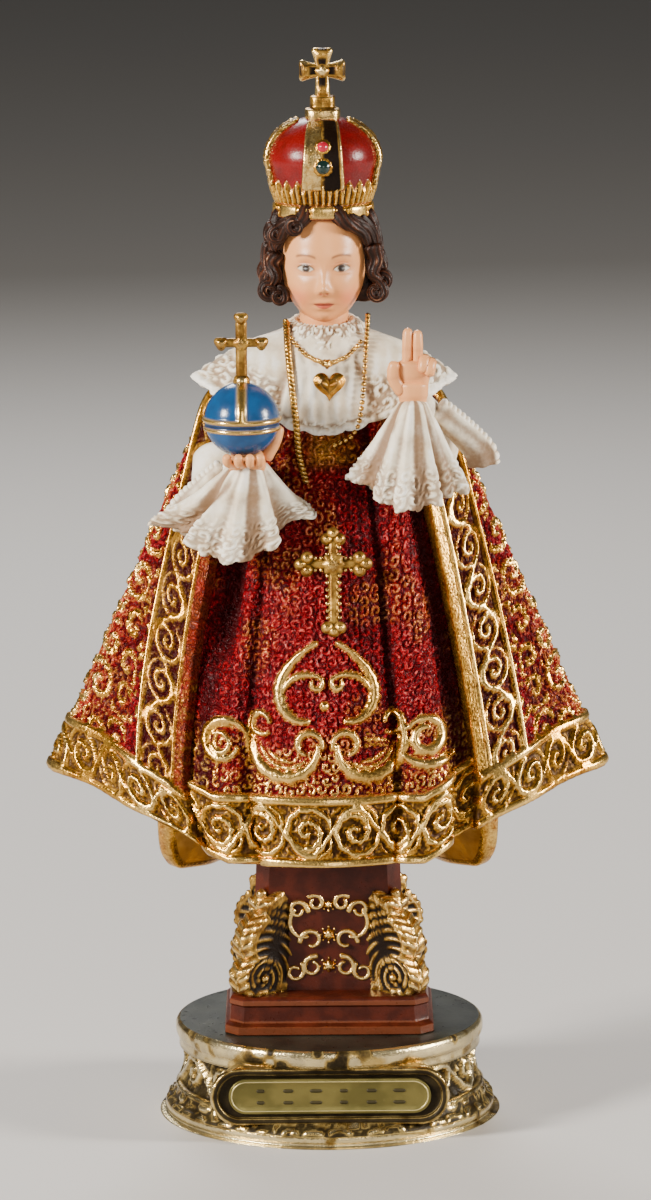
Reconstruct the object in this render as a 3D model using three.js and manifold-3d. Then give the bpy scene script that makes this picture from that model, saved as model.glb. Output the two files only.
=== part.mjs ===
// A hand-painted resin statuette of a crowned child in a bell-shaped robe, on a pedestal and a round base.
// Millimetres, +Z up, front towards -Y, origin at the centre of the base's underside.
import * as THREE from 'three';
import { mergeVertices } from 'three/addons/utils/BufferGeometryUtils.js';
import Module from 'manifold-3d';

const wasm = await Module();
wasm.setup();

// Base: a turned plinth
const baseHeight = 18.5;
const baseFootRadius = 32.2;
const baseWaistInset = 4.6;
const baseRimInset = 2.1;
const baseFootHeight = 5;
const baseRimHeight = 3.6;
const baseLeaves = 9;
const baseRelief = 0.9;

// Cartouche and name plate on the front of the base
const cartoucheWidth = 46;
const cartoucheHeight = 11.4;
const cartoucheInset = 5.4;
const cartoucheTaper = 0.8;
const cartoucheMiddle = 9.1;
const cartoucheRim = 0.9;
const plateWidth = 39;
const plateHeight = 6.9;
const plateThickness = 0.7;
const strokeRelief = 0.3;

// Pedestal: a foot block, a waist with corner consoles, and a neck
const pedestalHeight = 42;
const footHalfWidth = 20.2;
const footHalfDepth = 17;
const footHeight = 7.4;
const waistHalfWidth = 12.4;
const waistHalfDepth = 10.4;
const neckHalfWidth = 14.2;
const neckHalfDepth = 11.2;
const neckBottom = 26.5;
const cornerCant = 2.6;
const voluteRadius = 3.3;
const consoleThickness = 5.6;

// Robe: gown and mantle as one bell, heights measured from the seat on the pedestal
const hemFront = -5;
const hemCorner = 8.6;
const hemBack = -15.5;
const hemRightRise = 1.8;
const hemFlatHalf = 17;
const robeTop = 91.5;
const shoulderHeight = 78;
const robeHalfWidth = 50.7;
const widthSlope = 0.434;
const robeFrontDepth = 31;
const frontSlope = 0.22;
const robeBackDepth = 28;
const backSlope = 0.17;
const hemThickness = 2.4;
const seatHalfWidth = 19;
const seatHalfDepth = 14;
const mantleThickness = 2.4;
const gownBorder = 13;
const mantleBorder = 10;
const borderRelief = 0.7;
const pitDepth = 5;

// Raised scrolls on the gown: a heart-shaped pair, and below it a pair that opens upwards. Each one's middle lies
// out from the statuette's middle at a height above the seat, and it starts and sweeps by degrees.
const scrollGirth = 0.9;
const heartScroll = { out: 4, height: 26.1, size: 5.3, from: 100, sweep: 195, tail: 5.3 };
const lowScroll = { out: 7.2, height: 18, size: 7.8, from: 40, sweep: 250 };

// Head, as a child's: the face is built from shares of the head's height
const collarNeckHeight = 94;
const neckShown = 1.2;
const headHeight = 25;
const headHalfWidth = 8.5;
const headHalfDepth = 10;
const neckRadius = 4.6;
const hairSetBack = 2.2;
const hairTrim = 1.2; // how much flatter the hair lies above the jaw on the orb's side
const crownRise = 20.8;

// Lace collar and neck ruff
const collarThickness = 1.1;
const collarNeckHalf = 7.6;
const ruffRadius = 8.4;

// Hands and orb
const orbRadius = 7.1;
const orbCentre = new THREE.Vector3(-15.7, -24, 80.1);
const bandRelief = 0.45;
const orbCrossHeight = 13.2;
const orbCrossBar = 2.2;
const orbCrossWidth = 9.6;
const blessingWrist = new THREE.Vector3(16.7, -22.5, 83);
const palmLength = 7.6;
const fingerLength = 6.6;
const fingerRadius = 1.0;

// Crown
const crownHeight = 32;
const crownRimRadius = 9.2;
const crownCapRadius = 10.6;
const crownBandHeight = 2.6;
const crownLeafHeight = 5.2;
const crownDomeHeight = 18.6;
const crownArches = 4;
const crownLeaves = 10;
const crownCrossWidth = 8.8;

// Jewels on the chest
const heartWidth = 6.4;
const pectoralWidth = 12;
const pectoralLength = 17.5;

// Pieces that touch without being one keep this gap
const seatGap = 0.3;

// Places that follow from the sizes above
const baseWaistRadius = baseFootRadius - baseWaistInset;
const baseRimRadius = baseFootRadius - baseRimInset;
const cartoucheFront = baseFootRadius - cartoucheInset;
const chinHeight = collarNeckHeight + neckShown;
const crownSeat = chinHeight + crownRise;

const { PI, abs, cos, hypot, max, min, pow, sign, sin, sqrt } = Math;
const { lerp, smoothstep, degToRad } = THREE.MathUtils;
const vec = (x, y, z) => new THREE.Vector3(x, y, z);

// Turns a closed three.js geometry into a solid
function solidFrom(geometry) {
  const bare = geometry.clone();
  bare.deleteAttribute('normal');
  bare.deleteAttribute('uv');
  const merged = mergeVertices(bare, 1e-4);
  return new wasm.Manifold(new wasm.Mesh({
    numProp: 3,
    vertProperties: merged.attributes.position.array,
    triVerts: new Uint32Array(merged.index.array),
  }));
}

// Turns a solid back into a three.js geometry
function geometryFrom(solid) {
  const { numProp, numVert, vertProperties, triVerts } = solid.getMesh();
  const position = new Float32Array(numVert * 3);
  for (let i = 0; i < numVert; i++) {
    position.set(vertProperties.subarray(i * numProp, i * numProp + 3), i * 3);
  }
  const geometry = new THREE.BufferGeometry();
  geometry.setAttribute('position', new THREE.BufferAttribute(position, 3));
  geometry.setIndex(new THREE.BufferAttribute(triVerts, 1));
  geometry.computeVertexNormals();
  return geometry;
}

const fuse = (solids) => solids.reduce((whole, piece) => whole.add(piece));

// Fills hollows that are closed in on all sides
const filled = (solid) => fuse(solid.decompose().filter((shell) => shell.volume() > 0));

// A closed skin with a pole at each end. place(angle, row) gives a point: the angle is 0 at the front and grows
// towards +X, and row counts from 0, the lower pole, to rows, the upper pole.
function skin(columns, rows, place) {
  const geometry = new THREE.SphereGeometry(1, columns, rows);
  const { position, uv } = geometry.attributes;
  for (let i = 0; i < position.count; i++) {
    const row = Math.round(uv.getY(i) * rows);
    const atPole = row === 0 || row === rows;
    const turn = atPole ? 0.25 : uv.getX(i) % 1;
    const point = place(2 * PI * (turn - 0.25), row, turn * columns);
    position.setXYZ(i, point.x, point.y, point.z);
  }
  return solidFrom(geometry);
}

// An ellipsoid with half axes size
function ball(centre, size, columns = 12, rows = 8) {
  const half = typeof size === 'number' ? vec(size, size, size) : size;
  return skin(columns, rows, (angle, row) => {
    const fall = (PI * row) / rows;
    return vec(sin(fall) * sin(angle), -sin(fall) * cos(angle), -cos(fall)).multiply(half).add(centre);
  });
}

// A tapering rod along a smooth curve through points. girth(t) gives its half width and half thickness.
function rod(points, girth, sides = 6, steps = 8, flat = vec(0, 1, 0)) {
  const curve = new THREE.CatmullRomCurve3(points);
  return skin(sides, steps + 2, (angle, row) => {
    const t = min(max((row - 1) / steps, 0), 1);
    const pole = row === 0 || row === steps + 2;
    const along = curve.getTangentAt(t);
    const across = vec(0, 0, 0).crossVectors(flat, along).normalize();
    const up = vec(0, 0, 0).crossVectors(along, across);
    const [width, thickness] = girth(t);
    const reach = pole ? 0 : 1;
    return curve.getPointAt(t)
      .addScaledVector(across, width * reach * sin(angle))
      .addScaledVector(up, -thickness * reach * cos(angle))
      .addScaledVector(along, (pole ? 0.6 : 0) * width * (row === 0 ? -1 : 1));
  });
}

// A flat outline in the XZ plane, thickened towards the front from a back face at y = -back. The back's width
// is backScale of the front's.
function plaque(shape, back, thickness, bevel = 0, backScale = 1) {
  const settings = { depth: thickness - bevel, curveSegments: 5, bevelEnabled: bevel > 0 };
  if (bevel > 0) {
    Object.assign(settings, { bevelThickness: bevel, bevelSize: bevel, bevelOffset: -bevel, bevelSegments: 1 });
  }
  const geometry = new THREE.ExtrudeGeometry(shape, settings);
  geometry.rotateX(PI / 2);
  geometry.translate(0, -back, 0);
  const { position } = geometry.attributes;
  for (let i = 0; i < position.count; i++) {
    const share = min(1, max(0, (-position.getY(i) - back) / thickness));
    position.setX(i, position.getX(i) * lerp(backScale, 1, share));
  }
  return solidFrom(geometry);
}

// A bar with round ends
function stadium(width, height, middle = 0) {
  const end = height / 2;
  const reach = width / 2 - end;
  const shape = new THREE.Shape();
  shape.moveTo(-reach, middle - end);
  shape.lineTo(reach, middle - end);
  shape.absarc(reach, middle, end, -PI / 2, PI / 2);
  shape.lineTo(-reach, middle + end);
  shape.absarc(-reach, middle, end, PI / 2, (3 * PI) / 2);
  return shape;
}

// A plain oblong in the XZ plane
function oblong(left, bottom, right, top) {
  const shape = new THREE.Shape();
  shape.moveTo(left, bottom);
  shape.lineTo(right, bottom);
  shape.lineTo(right, top);
  shape.lineTo(left, top);
  shape.closePath();
  return shape;
}

// A cross with budded ends, standing on z = 0, its back on y = 0
function buddedCross(width, height, crossing, bar, bud) {
  const pieces = [
    oblong(-bar / 2, 0, bar / 2, height - bud),
    oblong(-width / 2 + bud, crossing - bar / 2, width / 2 - bud, crossing + bar / 2),
  ].map((shape) => plaque(shape, 0, bar));
  const ends = [[-width / 2 + bud, crossing], [width / 2 - bud, crossing], [0, height - bud]];
  for (const [x, z] of ends) {
    pieces.push(ball(vec(x, -bar / 2, z), vec(bud, bar * 0.6, bud), 6, 4));
  }
  return fuse(pieces);
}

// Points of a scroll that winds inwards round [x, z]: tail lengthens its start, and side is 1 or -1
function scrollPoints(x, z, size, side, { from, sweep = 300, tail = 0, steps = 10 }) {
  return Array.from({ length: steps + 1 }, (_, i) => {
    const turned = (degToRad(sweep) * i) / steps;
    const radius = size * (1 - 0.07 * turned) + tail * Math.exp(-turned / 0.6);
    const angle = degToRad(from) - turned;
    return [x + side * radius * cos(angle), z + radius * sin(angle)];
  });
}

// The base: a turned plinth whose waist is carved with upright leaves, and a flat cartouche at the front
function basePart() {
  const rimBottom = baseHeight - baseRimHeight;
  const rings = [
    [0, baseFootRadius - 1.2, 0], [1.6, baseFootRadius, 0],
    [baseFootHeight, baseFootRadius - 2.2, 0], [baseFootHeight + 1.4, baseWaistRadius + 1, 0.5],
    [lerp(baseFootHeight, rimBottom, 0.55), baseWaistRadius, 1], [rimBottom - 1, baseWaistRadius + 0.8, 0.5],
    [rimBottom + 0.6, baseRimRadius - 0.4, 0], [baseHeight - 0.8, baseRimRadius, 0], [baseHeight, baseRimRadius - 0.6, 0],
  ];
  const rows = rings.length + 1;
  const body = skin(4 * baseLeaves, rows, (angle, row) => {
    if (row === 0) return vec(0, 0, 0);
    if (row === rows) return vec(0, 0, baseHeight);
    const [height, radius, carving] = rings[row - 1];
    const reach = radius + carving * baseRelief * cos(baseLeaves * angle);
    return vec(reach * sin(angle), -reach * cos(angle), height);
  });
  const outline = (margin) => stadium(cartoucheWidth - margin, cartoucheHeight - margin, cartoucheMiddle);
  const back = baseWaistRadius / 2;
  const front = cartoucheFront + cartoucheRim;
  const boss = plaque(outline(0), back, front - back, cartoucheRim, cartoucheTaper);
  const space = plaque(outline(0), front, baseFootRadius - front + 1);
  const well = plaque(outline(cartoucheHeight - plateHeight - 1), cartoucheFront, cartoucheRim + 1);
  return body.add(boss).subtract(space).subtract(well);
}

function platePart() {
  const pieces = [plaque(stadium(plateWidth, plateHeight, 0), 0, plateThickness)];
  const strokes = 6;
  for (const row of [-1, 1]) {
    for (let i = 0; i < strokes; i++) {
      const x = ((i + 0.5) / strokes - 0.5) * (plateWidth - plateHeight);
      const length = 1.6 + 0.9 * ((i * 7) % 3) * 0.5;
      const middle = (row * plateHeight) / 6;
      const shape = oblong(x - length / 2, middle - 0.35, x + length / 2, middle + 0.35);
      pieces.push(plaque(shape, plateThickness / 2, plateThickness / 2 + strokeRelief));
    }
  }
  return fuse(pieces);
}

// Four-sided block with canted corners, lofted through [height, half width, half depth] stations
function cantedBlock(stations) {
  return skin(8, stations.length + 1, (angle, row, column) => {
    const [height, width, depth] = stations[min(max(row - 1, 0), stations.length - 1)];
    if (row === 0 || row === stations.length + 1) return vec(0, 0, height);
    const corner = Math.round(column) % 8;
    const outline = [
      [-1, 1, 0, -1], [-1, -1, 0, 1], [-1, -1, 1, 0], [1, -1, -1, 0],
      [1, -1, 0, 1], [1, 1, 0, -1], [1, 1, -1, 0], [-1, 1, 1, 0],
    ][corner];
    return vec(outline[0] * width + outline[2] * cornerCant, outline[1] * depth + outline[3] * cornerCant, height);
  });
}

// One corner console seen from its side: an S outline that ends below in a volute
function consolePiece(height) {
  const outline = [
    [-2.4, 0], [6.5, 0], [9.2, 0.5], [10.2, 2.2], [10.1, 4.4], [8.7, 6.2], [8.2, 7.2], [9.2, 8.8], [9.1, 11],
    [8, 13.2], [6.1, 15], [5, 16], [5.3, 17.4], [4.2, 18.7], [-2.4, 18.9],
  ].map(([u, v]) => new THREE.Vector2(u, (v * height) / 18.9));
  const slab = plaque(new THREE.Shape(outline), -consoleThickness / 2, consoleThickness);
  const eye = new THREE.CylinderGeometry(voluteRadius * 0.5, voluteRadius * 0.5, consoleThickness + 1.2, 6);
  eye.translate(4.8, 0, voluteRadius);
  return slab.add(solidFrom(eye));
}

function pedestalPart() {
  const block = cantedBlock([
    [0, footHalfWidth, footHalfDepth], [1.8, footHalfWidth, footHalfDepth],
    [2.4, footHalfWidth - 0.8, footHalfDepth - 0.8], [footHeight - 1.6, footHalfWidth - 1.1, footHalfDepth - 1.1],
    [footHeight, footHalfWidth - 1, footHalfDepth - 1],
    [footHeight + 0.3, waistHalfWidth + 1.2, waistHalfDepth + 0.8], [footHeight + 7, waistHalfWidth, waistHalfDepth],
    [neckBottom - 2, waistHalfWidth, waistHalfDepth], [neckBottom, neckHalfWidth, neckHalfDepth],
    [pedestalHeight, neckHalfWidth - 0.6, neckHalfDepth - 0.6],
  ]);
  const pieces = [block];
  const consoleHeight = neckBottom - footHeight + 0.4;
  for (const sx of [-1, 1]) {
    for (const sy of [-1, 1]) {
      const bearing = Math.atan2(sy * 0.62, sx * 0.78);
      const stand = consolePiece(consoleHeight)
        .rotate([0, 0, THREE.MathUtils.radToDeg(bearing)])
        .translate([sx * (waistHalfWidth - 2.9), sy * (waistHalfDepth - 2.2), footHeight - 0.2]);
      pieces.push(stand);
    }
  }
  const panel = waistHalfDepth;
  const middle = (footHeight + neckBottom) / 2;
  for (const side of [-1, 1]) {
    const curl = scrollPoints(side * 4, middle + 1.6, 3.2, side, { from: 150, steps: 7 })
      .map(([x, z]) => vec(x, -panel - 0.2, z));
    pieces.push(rod(curl, () => [0.6, 0.5], 4, 6));
  }
  pieces.push(ball(vec(0, -panel - 0.3, middle - 2), vec(1.6, 0.8, 1.6), 6, 4));
  return fuse(pieces);
}

// Shape of the robe
const outlinePower = 1.6;
const cornerTurn = PI / 2;
const tuckTurn = degToRad(104);
const lobeTurn = degToRad(121);
const mantleLip = degToRad(1.3);

// Angle of the mantle's front edge on either side, at a share t of the way up from the hem
const edgeAngle = (side, t) => degToRad(side > 0 ? lerp(37, 49, t) : lerp(31, 49, pow(t, 0.6)));

// Keeps an angle between -PI and PI
const wrapAngle = (angle) => (angle > PI ? angle - 2 * PI : angle);

// Height of the hem at an angle
function hemAt(angle) {
  const turn = abs(wrapAngle(angle));
  const x = robeHalfWidth * pow(abs(sin(turn)), 2 / outlinePower);
  const share = max(0, (x - hemFlatHalf) / (robeHalfWidth - hemFlatHalf));
  const lifted = wrapAngle(angle) > 0 ? hemRightRise * sin(PI * share) : 0;
  if (turn <= cornerTurn) return lerp(hemFront, hemCorner, share) + lifted;
  const tucked = lerp(hemCorner, hemCorner - 3, smoothstep(turn, cornerTurn, tuckTurn));
  return lerp(tucked, hemBack, pow(smoothstep(turn, tuckTurn, lobeTurn), 0.6));
}

// Rounding of the shoulders
function shoulderShare(height) {
  const t = max(0, (height - shoulderHeight) / (robeTop - shoulderHeight));
  return sqrt(max(0, 1 - t * t));
}

// Tubes of cloth side by side over a share g from -1 to 1, as [start, end, depth]
const gownTubes = [[-1, -0.6, 1.6], [-0.6, -0.02, 2.1], [-0.02, 0.52, 1.7], [0.52, 0.86, 2.4], [0.86, 1.02, 0.4]];
function gownFold(g) {
  const tube = gownTubes.find(([start, end]) => g >= start && g <= end) ?? gownTubes[0];
  const [start, end, depth] = tube;
  const across = (2 * (g - start)) / (end - start) - 1;
  return depth * pow(max(0, 1 - across * across), 0.6);
}

// Distance that the cloth stands out from the plain bell
function clothLift(angle, t) {
  const turn = wrapAngle(angle);
  const side = turn >= 0 ? 1 : -1;
  const edge = edgeAngle(side, t);
  const slack = pow(1 - t, 0.7);
  if (abs(turn) < edge + mantleLip * 0.5) {
    const g = turn / edge;
    const pit = pitDepth * Math.exp(-pow((g + 0.87) / 0.12, 2)) * smoothstep(t, 0.3, 0.5);
    return gownFold(g) * lerp(0.35, 1, slack) - pit;
  }
  if (abs(turn) <= cornerTurn) {
    const share = (abs(turn) - edge) / (cornerTurn - edge);
    return mantleThickness + slack * (0.9 * sin(share * PI * 3) * smoothstep(share, 0, 0.3));
  }
  const flutes = 0.5 - 0.5 * cos((abs(turn) - tuckTurn) * 14);
  return mantleThickness + slack * 2.2 * flutes * smoothstep(abs(turn), cornerTurn, lobeTurn);
}

// Point of the robe at an angle and a height, standing out by lift
function robePoint(angle, height, lift = 0) {
  const turn = wrapAngle(angle);
  const rise = max(0, height - hemCorner);
  const round = shoulderShare(height);
  const tuck = lerp(0.38, 0.04, min(1, rise / (shoulderHeight - hemCorner)));
  const narrow = 1 - tuck * smoothstep(abs(turn), cornerTurn, tuckTurn);
  const width = (robeHalfWidth - widthSlope * rise) * narrow * round;
  const front = (robeFrontDepth - frontSlope * (height - hemFront)) * round;
  const back = (robeBackDepth - backSlope * (height - hemBack)) * round;
  const depth = cos(turn) >= 0 ? front : back;
  const power = 2 / outlinePower;
  const x = width * sign(sin(turn)) * pow(abs(sin(turn)), power);
  const y = -depth * sign(cos(turn)) * pow(abs(cos(turn)), power);
  const out = vec(sin(turn), -cos(turn), 0);
  return vec(x, y, height).addScaledVector(out, lift);
}

// Point of the robe's front seen at x, at a height
function robeFrontAt(x, height, lift = 0) {
  const rise = max(0, height - hemCorner);
  const width = (robeHalfWidth - widthSlope * rise) * shoulderShare(height);
  const turn = sign(x) * Math.asin(min(1, pow(abs(x) / width, outlinePower / 2)));
  const t = (height - hemAt(turn)) / (robeTop - hemAt(turn));
  return robePoint(turn, height, clothLift(turn, t) + lift);
}

// Columns of the robe's skin, set so that two of them follow each edge of the mantle
const robeColumns = 50;
function robeAngle(column, t) {
  const left = edgeAngle(-1, t);
  const right = edgeAngle(1, t);
  const keys = [
    [0, -cornerTurn], [6, -left - mantleLip], [7, -left], [28, right], [29, right + mantleLip], [35, cornerTurn],
    [robeColumns, 1.5 * PI],
  ];
  const next = max(1, keys.findIndex(([key]) => key >= column - 1e-6));
  const [fromColumn, from] = keys[next - 1];
  const [toColumn, to] = keys[next];
  return lerp(from, to, (column - fromColumn) / (toColumn - fromColumn));
}

function robeSolid() {
  const risers = 8;
  const rows = risers + 6;
  return skin(robeColumns, rows, (_, row, column) => {
    if (row === 0) return vec(0, 0, 0);
    if (row === rows) return vec(0, 0, robeTop);
    const hemAngle = robeAngle(column, 0);
    const hem = hemAt(hemAngle);
    const border = abs(wrapAngle(hemAngle)) < edgeAngle(sign(hemAngle), 0) + mantleLip / 2 ? gownBorder : mantleBorder;
    const hemPoint = robePoint(hemAngle, hem, clothLift(hemAngle, 0) + borderRelief);
    if (row === 1) return vec(seatHalfWidth * sin(hemAngle), -seatHalfDepth * cos(hemAngle), 0);
    if (row === 2) {
      const inward = 1 - hemThickness / hypot(hemPoint.x, hemPoint.y);
      return vec(hemPoint.x * inward, hemPoint.y * inward, hem + 1);
    }
    if (row === 3) return hemPoint;
    const raised = row === 4;
    const start = hem + border;
    const share = pow(max(0, row - 5) / (rows - 5), 0.92);
    const height = raised ? start : lerp(start + 0.6, robeTop, share);
    const t = (height - hem) / (robeTop - hem);
    const angle = robeAngle(column, t);
    return robePoint(angle, height, clothLift(angle, t) + (raised ? borderRelief : 0));
  });
}

function robeScrolls() {
  const pieces = [];
  for (const { out, height, size, ...turns } of [heartScroll, lowScroll]) {
    for (const side of [-1, 1]) {
      const points = scrollPoints(side * out, height, size, side, turns).map(([x, z]) => robeFrontAt(x, z, 0.2));
      pieces.push(rod(points, () => [scrollGirth, scrollGirth], 4, 8));
    }
  }
  return pieces;
}

// Lace collar: outline of its edge as [angle in degrees, x, y, drop below the neck], mirrored to the other side
const collarEdge = [
  [0, 0, -14, 18.7], [22, 6.2, -13.8, 17.4], [45, 15, -12.4, 14], [63, 20.6, -9.6, 11.4], [80, 25.2, -3.8, 8.8],
  [104, 21, 6, 11], [140, 13, 12, 13], [180, 0, 14, 14.5],
];
function collarPoint(angle, share) {
  const turn = wrapAngle(angle);
  const degrees = THREE.MathUtils.radToDeg(abs(turn));
  const next = max(1, collarEdge.findIndex(([key]) => key >= degrees - 1e-6));
  const [from, ...start] = collarEdge[next - 1];
  const [to, ...end] = collarEdge[next];
  const mix = (degrees - from) / (to - from);
  const edge = vec(...start).lerp(vec(...end), mix);
  edge.x *= sign(turn);
  edge.z = collarNeckHeight - edge.z;
  const neck = vec(collarNeckHalf * sin(turn), -collarNeckHalf * 0.9 * cos(turn), collarNeckHeight);
  const point = neck.lerp(edge, share);
  point.z += 1.6 * sin(PI * min(1, share)) * abs(sin(turn));
  point.y -= 2.2 * sin(PI * min(1, share)) * max(0, cos(turn)) - 1.2 * sin(PI * share) * max(0, -cos(turn));
  return point;
}
function collarSolid() {
  const rows = 6;
  return skin(28, rows, (angle, row) => {
    if (row === 0) return vec(0, 0, shoulderHeight);
    if (row === rows) return vec(0, 0, collarNeckHeight + 0.4);
    if (row === 1) return collarPoint(angle, 0.8).add(vec(0, 0, -collarThickness * 2));
    if (row === 2) return collarPoint(angle, 0.99).add(vec(0, 0, -collarThickness));
    return collarPoint(angle, 1 - (row - 3) / (rows - 4));
  });
}

function ruffSolid() {
  const rows = 5;
  return skin(20, rows, (angle, row) => {
    if (row === 0) return vec(0, 0, collarNeckHeight - 4.5);
    if (row === rows) return vec(0, 0, collarNeckHeight + 2.4);
    const frill = row === 2 ? 1 + 0.07 * cos(angle * 5) : 1;
    const radius = [0, 6.4, ruffRadius, 7.4, 5.4][row] * frill;
    const rise = [0, -3.4, -2.8, 0, 1.9][row];
    return vec(radius * sin(angle), -radius * 0.95 * cos(angle) - 0.6, collarNeckHeight + rise - 0.6 * cos(angle));
  });
}

// Face: bumps pushed forward, as [share of height, x, half width, half height, push]
const eyeShare = 0.46;
const noseShare = 0.27;
const mouthShare = 0.175;
const eyeSpread = 0.4 * headHalfWidth;
const faceBumps = [
  [eyeShare, eyeSpread, 2.0, 1.5, -1.0], [eyeShare, -eyeSpread, 2.0, 1.5, -1.0],
  [eyeShare - 0.005, eyeSpread, 1.3, 0.85, 0.75], [eyeShare - 0.005, -eyeSpread, 1.3, 0.85, 0.75],
  [noseShare + 0.03, 0, 1.15, 1.1, 2.0], [noseShare + 0.1, 0, 0.85, 2.2, 1.0],
  [mouthShare + 0.02, 0, 1.9, 0.6, 0.7], [mouthShare - 0.035, 0, 1.5, 0.6, 0.65],
  [0.05, 0, 2.2, 1.5, 0.9], [0.25, 4.4, 2.8, 2.8, 0.7], [0.25, -4.4, 2.8, 2.8, 0.7],
];
const headShares = [0, 0.03, 0.09, 0.14, 0.18, 0.22, 0.27, 0.33, 0.4, 0.46, 0.53, 0.63, 0.77, 0.92, 1];
function headSolid() {
  return skin(20, headShares.length - 1, (angle, row) => {
    const share = headShares[row];
    const full = pow(max(0, 1 - pow(abs(2 * share - 1), 2.3)), 1 / 2.3);
    const jaw = lerp(0.84, 1, smoothstep(share, 0, 0.42));
    const turn = angle - 0.5 * sin(angle);
    const x = headHalfWidth * full * jaw * sin(turn);
    const z = share * headHeight;
    let y = -headHalfDepth * full * lerp(0.86, 1, smoothstep(share, 0, 0.3)) * cos(turn);
    for (const [at, bx, wide, tall, push] of faceBumps) {
      const gap = pow((x - bx) / wide, 2) + pow((z - at * headHeight) / tall, 2);
      y -= push * Math.exp(-gap) * smoothstep(cos(turn), 0, 0.3);
    }
    return vec(x, y, z + chinHeight);
  });
}

// Hair: one carved mass, full at the jaw, parted over the forehead and open round the face.
// Each ring is [share of the way from chin to crown, half width over the head's, half angle of the opening]
const hairRings = [
  [0.26, 0, 52], [0.21, 1.13, 54], [0.31, 1.4, 54], [0.46, 1.49, 53], [0.64, 1.46, 50], [0.79, 1.4, 42],
  [0.9, 1.29, 24], [1.07, 1.14, 0], [1.09, 0, 0],
];
const hairLocks = 10;
function hairSolid() {
  return skin(3 * hairLocks, hairRings.length - 1, (angle, row) => {
    const [share, swell, opening] = hairRings[row];
    const width = swell * headHalfWidth;
    const turn = wrapAngle(angle);
    const open = 1 - smoothstep(abs(turn), degToRad(opening - 6), degToRad(opening + 6));
    const wave = width ? 1.1 * cos(hairLocks * turn + 1.7 * sin(row * 1.2)) : 0;
    const trim = share > 0.5 && share < 1 ? hairTrim * max(0, -sin(turn)) : 0;
    const reach = (width - 0.8 + wave - trim) * (1 - 0.45 * open);
    return vec(reach * sin(turn), hairSetBack - reach * 0.94 * cos(turn), lerp(chinHeight, crownSeat, share));
  });
}

// A hanging sleeve cuff: a fluted cone from the wrist down to a scalloped hem
function cuffSolid(wrist, hemMiddle, halfWidth, halfDepth, leftRise, rightRise, flutes) {
  const rows = 5;
  return skin(3 * flutes, rows, (angle, row) => {
    if (row === 0) return vec(hemMiddle.x, hemMiddle.y, hemMiddle.z + 6);
    if (row === rows) return wrist.clone().add(vec(0, 0, 1));
    const t = row === 1 ? 0.97 : 1 - (row - 2) / (rows - 3);
    const inner = row === 1 ? 0.86 : 1;
    const frill = 1 + 0.13 * pow(t, 0.8) * cos(flutes * angle + 0.6);
    const rise = sin(angle) < 0 ? leftRise * pow(-sin(angle), 1.6) : rightRise * pow(sin(angle), 1.6);
    const spread = lerp(0.24, 1, pow(t, 0.85)) * frill * inner;
    const middle = wrist.clone().lerp(hemMiddle, t);
    return vec(
      middle.x + halfWidth * spread * sin(angle),
      middle.y - halfDepth * lerp(0.6, 1, t) * frill * inner * cos(angle),
      middle.z + rise * pow(t, 1.5) + 0.35 * t * cos(flutes * 2 * angle),
    );
  });
}

// The outer edge of a sleeve, a lace band that droops away from the wrist
function sleeveWing(points) {
  return rod(points, (t) => [lerp(2.2, 3, t), lerp(1.4, 1.2, t)], 6, 5, vec(0, -1, 0));
}

function sleeveSolids() {
  const orbWrist = vec(orbCentre.x + 1.2, orbCentre.y + 2, orbCentre.z - orbRadius - 1.6);
  const orbCuffHem = orbWrist.clone().add(vec(-2.4, 3.4, -18.4));
  const blessingCuffHem = blessingWrist.clone().add(vec(-0.9, 3.4, -20.2));
  const shoulder = (side) => vec(side * 19, -4, shoulderHeight - 8);
  const wing = (wrist, side) => sleeveWing([
    wrist.clone().add(vec(side * 4.4, 2, -1.4)),
    wrist.clone().add(vec(side * 8.5, 4, -5.4)),
    wrist.clone().add(vec(side * 12.8, 6, -10.4)),
    wrist.clone().add(vec(side * 13.6, 7, -13.6)),
  ]);
  const arm = (wrist, side) => rod([shoulder(side), vec(side * 20, -12, wrist.z - 8), wrist],
    (t) => [lerp(6.4, 3.2, t), lerp(6.4, 3.2, t)], 8, 3);
  return [
    arm(orbWrist, -1), arm(blessingWrist, 1), wing(orbWrist, -1), wing(blessingWrist, 1),
    cuffSolid(orbWrist, orbCuffHem, 13.9, 7, 6.5, 9.5, 9),
    cuffSolid(blessingWrist, blessingCuffHem, 10.2, 6.6, 5, 3.2, 8),
  ];
}

// The raised hand: palm, two upright fingers, two bent ones and the thumb
function blessingHand() {
  const palm = blessingWrist.clone().add(vec(0, 0, palmLength * 0.55));
  const pieces = [
    ball(palm, vec(3.7, 2.1, palmLength * 0.62), 8, 6),
    rod([blessingWrist.clone().add(vec(0, 0.4, -3)), palm], () => [2.6, 2.3], 6, 1),
  ];
  const root = palm.clone().add(vec(0, -0.3, palmLength * 0.4));
  for (const x of [-0.95, 1.0]) {
    const tip = root.clone().add(vec(x, 0, fingerLength));
    pieces.push(rod([root.clone().add(vec(x, 0, -1)), tip], () => [fingerRadius, fingerRadius], 5, 1));
  }
  for (const x of [2.2, 3.5]) {
    const knuckle = root.clone().add(vec(x, -1.0, 1.1 - 0.3 * x));
    pieces.push(rod([root.clone().add(vec(x * 0.85, 0.2, -1.6)), knuckle, knuckle.clone().add(vec(-0.5, -1.1, -2.6))],
      () => [fingerRadius, fingerRadius], 5, 3));
  }
  pieces.push(rod([palm.clone().add(vec(-2.4, -0.6, -1.6)), palm.clone().add(vec(-3.9, -1, 0.8)),
    palm.clone().add(vec(-3.7, -1, 3.6))], (t) => [lerp(1.4, 0.9, t), lerp(1.3, 0.9, t)], 5, 3));
  return pieces;
}

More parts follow.
